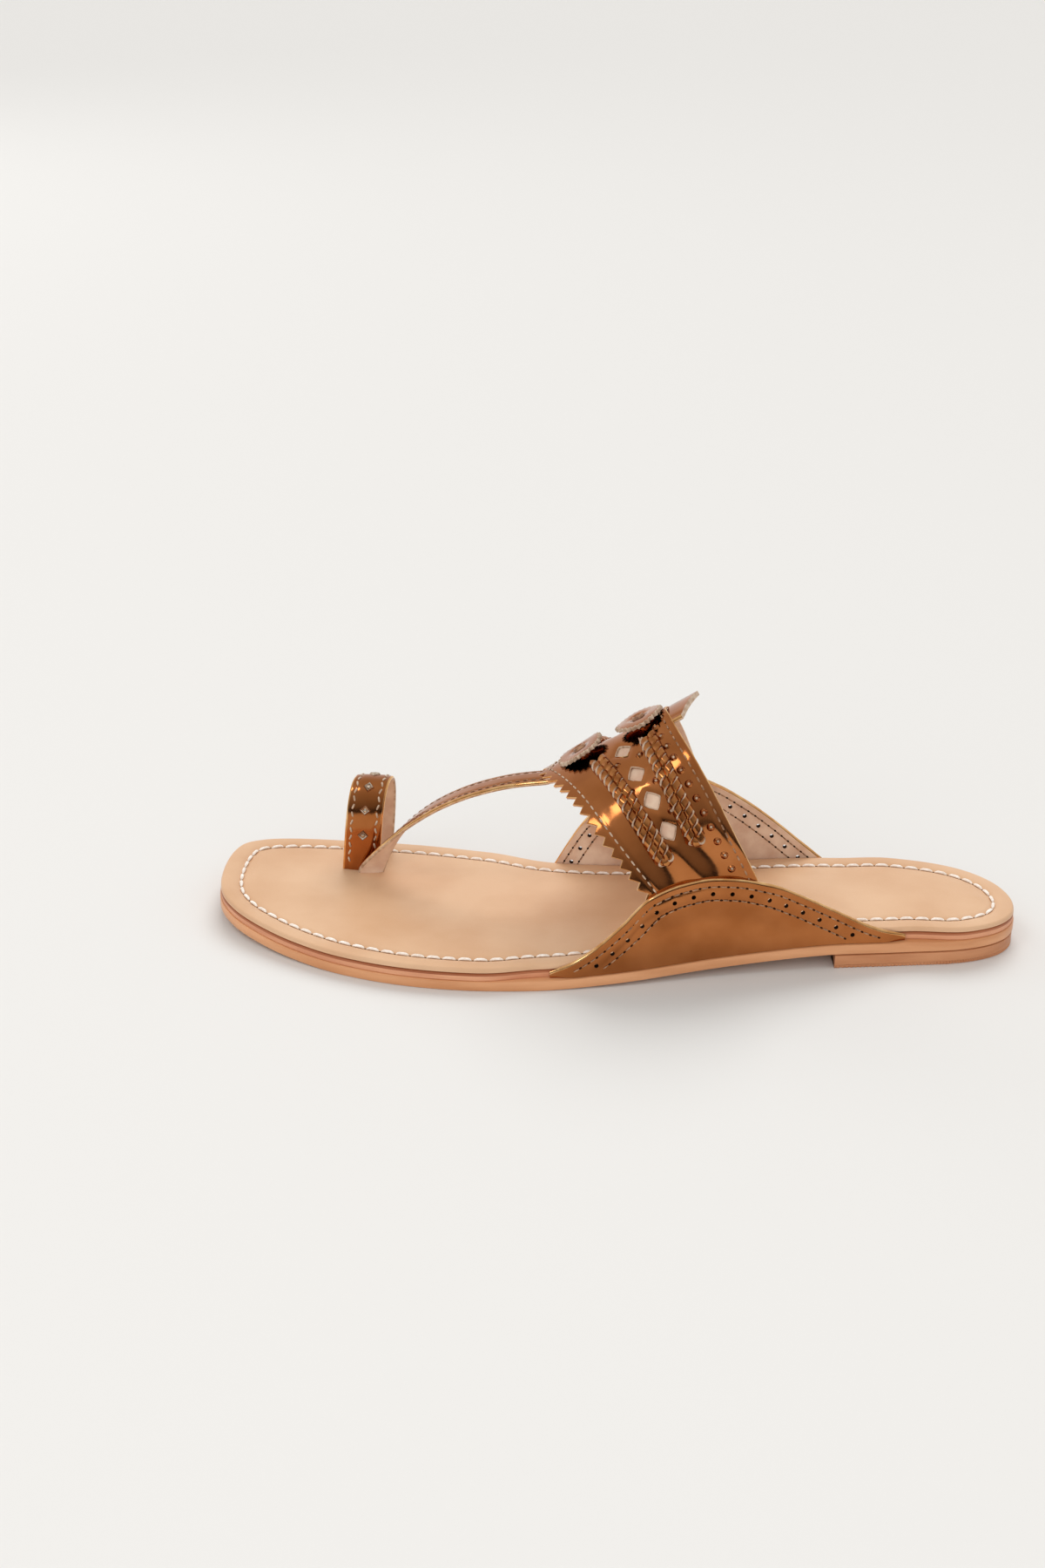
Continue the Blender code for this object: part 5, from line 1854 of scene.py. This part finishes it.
@dataclass(frozen=True)
class Studio:
    """Floor, light and camera at the photograph's angle."""

    camera_at: tuple[float, float, float] = (-0.008365, 0.644428, 0.319289)
    camera_aim: tuple[float, float, float] = (0.05392966, -0.92092944, -0.38598)
    camera_roll: float = 1.2013
    focal_pixels: float = 2597.16
    image_height: float = 1800.0
    sensor: float = 36.0
    floor_size: float = 24.0
    room_strength: float = 0.93
    key_toward: tuple[float, float, float] = (-0.12, -0.90, 1.0)
    key_strength: float = 1.62
    key_angle: float = 38.0
    fill_toward: tuple[float, float, float] = (0.20, 1.0, 0.27)
    fill_strength: float = 1.08
    fill_angle: float = 70.0
    softbox_at: tuple[float, float, float] = (0.54, 0.46, 1.09)
    softbox_size: tuple[float, float] = (0.28, 0.28)
    softbox_power: float = 1.2
    window_at: tuple[float, float, float] = (1.6, -1.4, 0.9)
    window_size: tuple[float, float] = (1.2, 0.9)
    window_power: float = 5.0

    def floor(self) -> None:
        """A wide pale floor."""
        clear_selection()
        bpy.ops.mesh.primitive_plane_add(size=self.floor_size, location=(0.0, 0.0, 0.0))
        floor = bpy.context.object
        floor.name = "studio_floor"
        paper = bpy.data.materials.new("matt_paper_sweep")
        paper.use_nodes = True
        shader = paper.node_tree.nodes["Principled BSDF"]
        shader.inputs["Base Color"].default_value = linear("#DEDDDB")
        shader.inputs["Roughness"].default_value = 0.95
        shader.inputs["Specular IOR Level"].default_value = 0.1
        floor.data.materials.append(paper)

    def hang(self, data: bpy.types.Light, toward: Sequence[float], glossy: bool) -> Piece:
        """Hang a lamp that shines on the shoe from a direction.

        Args:
            data: The lamp's data.
            toward: Direction to it from the shoe.
            glossy: Whether the mirror leather shows it.

        Returns:
            The lamp.
        """
        lamp = bpy.data.objects.new(data.name, data)
        lamp.visible_glossy = glossy
        lamp.rotation_euler = Vector(toward).to_track_quat("Z", "Y").to_euler()
        bpy.context.scene.collection.objects.link(lamp)
        return lamp

    def area(self, name: str, place: Sequence[float], size: tuple[float, float], power: float,
             glossy: bool) -> None:
        """A softbox that faces the shoe.

        Args:
            name: The lamp's name.
            place: Where it hangs.
            size: Its width and height.
            power: Its power in watts.
            glossy: Whether the mirror leather shows it.
        """
        data = bpy.data.lights.new(name, "AREA")
        data.shape = "RECTANGLE"
        data.size, data.size_y = size
        data.energy = power
        lamp = self.hang(data, place, glossy)
        lamp.visible_camera = False
        lamp.location = place

    def sky(self, name: str, toward: Sequence[float], strength: float, angle: float) -> None:
        """A wide far light, which the mirror leather doesn't show.

        Args:
            name: The lamp's name.
            toward: Direction to it.
            strength: Its strength.
            angle: How wide it is, in degrees.
        """
        data = bpy.data.lights.new(name, "SUN")
        data.energy = strength
        data.angle = math.radians(angle)
        self.hang(data, toward, False)

    def light(self) -> None:
        """A pale room, dark low on the camera's side, and the lamps."""
        world = bpy.data.worlds.new("studio_room")
        bpy.context.scene.world = world
        world.use_nodes = True
        tree = world.node_tree
        back = tree.nodes["Background"]
        where = add_node(tree, "ShaderNodeTexCoord")
        parts = add_node(tree, "ShaderNodeSeparateXYZ", links={"Vector": where.outputs["Generated"]})
        near = ramp(tree, parts.outputs["Z"], (0.00, "#2A2522"), (0.07, "#3A3430"),
                    (0.14, "#8E8984"), (0.45, "#B9B6B2"), (0.75, "#CFCDCB"), (1.00, "#E6E5E4"))
        far = ramp(tree, parts.outputs["Z"], (0.0, "#FFFDFA"), (0.8, "#DAD9D7"))
        side = add_node(tree, "ShaderNodeMapRange", {"From Min": -0.1, "From Max": 0.5},
                        {"Value": parts.outputs["Y"]})
        room = mixed(tree, side.outputs["Result"], far, near)
        seen = add_node(tree, "ShaderNodeLightPath").outputs
        plain = mixed(tree, seen["Is Camera Ray"], linear("#D8D6D3"), linear("#F6F4F1"))
        tree.links.new(mixed(tree, seen["Is Glossy Ray"], plain, room), back.inputs["Color"])
        back.inputs["Strength"].default_value = self.room_strength
        self.sky("soft_key", self.key_toward, self.key_strength, self.key_angle)
        self.sky("low_fill", self.fill_toward, self.fill_strength, self.fill_angle)
        self.area("softbox", self.softbox_at, self.softbox_size, self.softbox_power, True)
        self.area("window_card", self.window_at, self.window_size, self.window_power, False)

    def camera(self) -> None:
        """The camera, at the photograph's place and angle."""
        data = bpy.data.cameras.new("view")
        data.sensor_fit = "VERTICAL"
        data.sensor_height = self.sensor
        data.sensor_width = self.sensor
        data.lens = self.focal_pixels / self.image_height * self.sensor
        data.clip_end = 50.0
        forward = Vector(self.camera_aim).normalized()
        level = forward.cross(Vector((0.0, 0.0, 1.0))).normalized()
        upright = level.cross(forward)
        roll = math.radians(self.camera_roll)
        right = level * math.cos(roll) + upright * math.sin(roll)
        up = upright * math.cos(roll) - level * math.sin(roll)
        turn = Matrix((right, up, -forward)).transposed()
        camera = bpy.data.objects.new("view", data)
        camera.matrix_world = Matrix.Translation(self.camera_at) @ turn.to_4x4()
        bpy.context.scene.collection.objects.link(camera)
        bpy.context.scene.camera = camera

    def build(self) -> None:
        """Everything round the shoe."""
        bpy.context.scene.view_settings.view_transform = "Standard"
        self.floor()
        self.light()
        self.camera()


def main() -> None:
    """Build every sub-assembly in order; each piece logs its face count as it settles."""
    logging.basicConfig(level=logging.INFO, format="%(name)s %(message)s")
    Studio().build()
    SoleStack().build()
    LATERAL_WING.build()
    MEDIAL_WING.build()
    BAND.build()
    Spine().build()
    ToeLoop().build()
    for side in Side:
        Braid(side, "front", 0.375, 0.365, 28.6).build()
        Braid(side, "rear", 0.785, 0.690, 31.0).build()
    Rosette("rosette_front", 0.1362, pitch=7.0, base=0.0014).build()
    Rosette("rosette_rear", 0.1184).build()


if __name__ == "__main__":
    main()
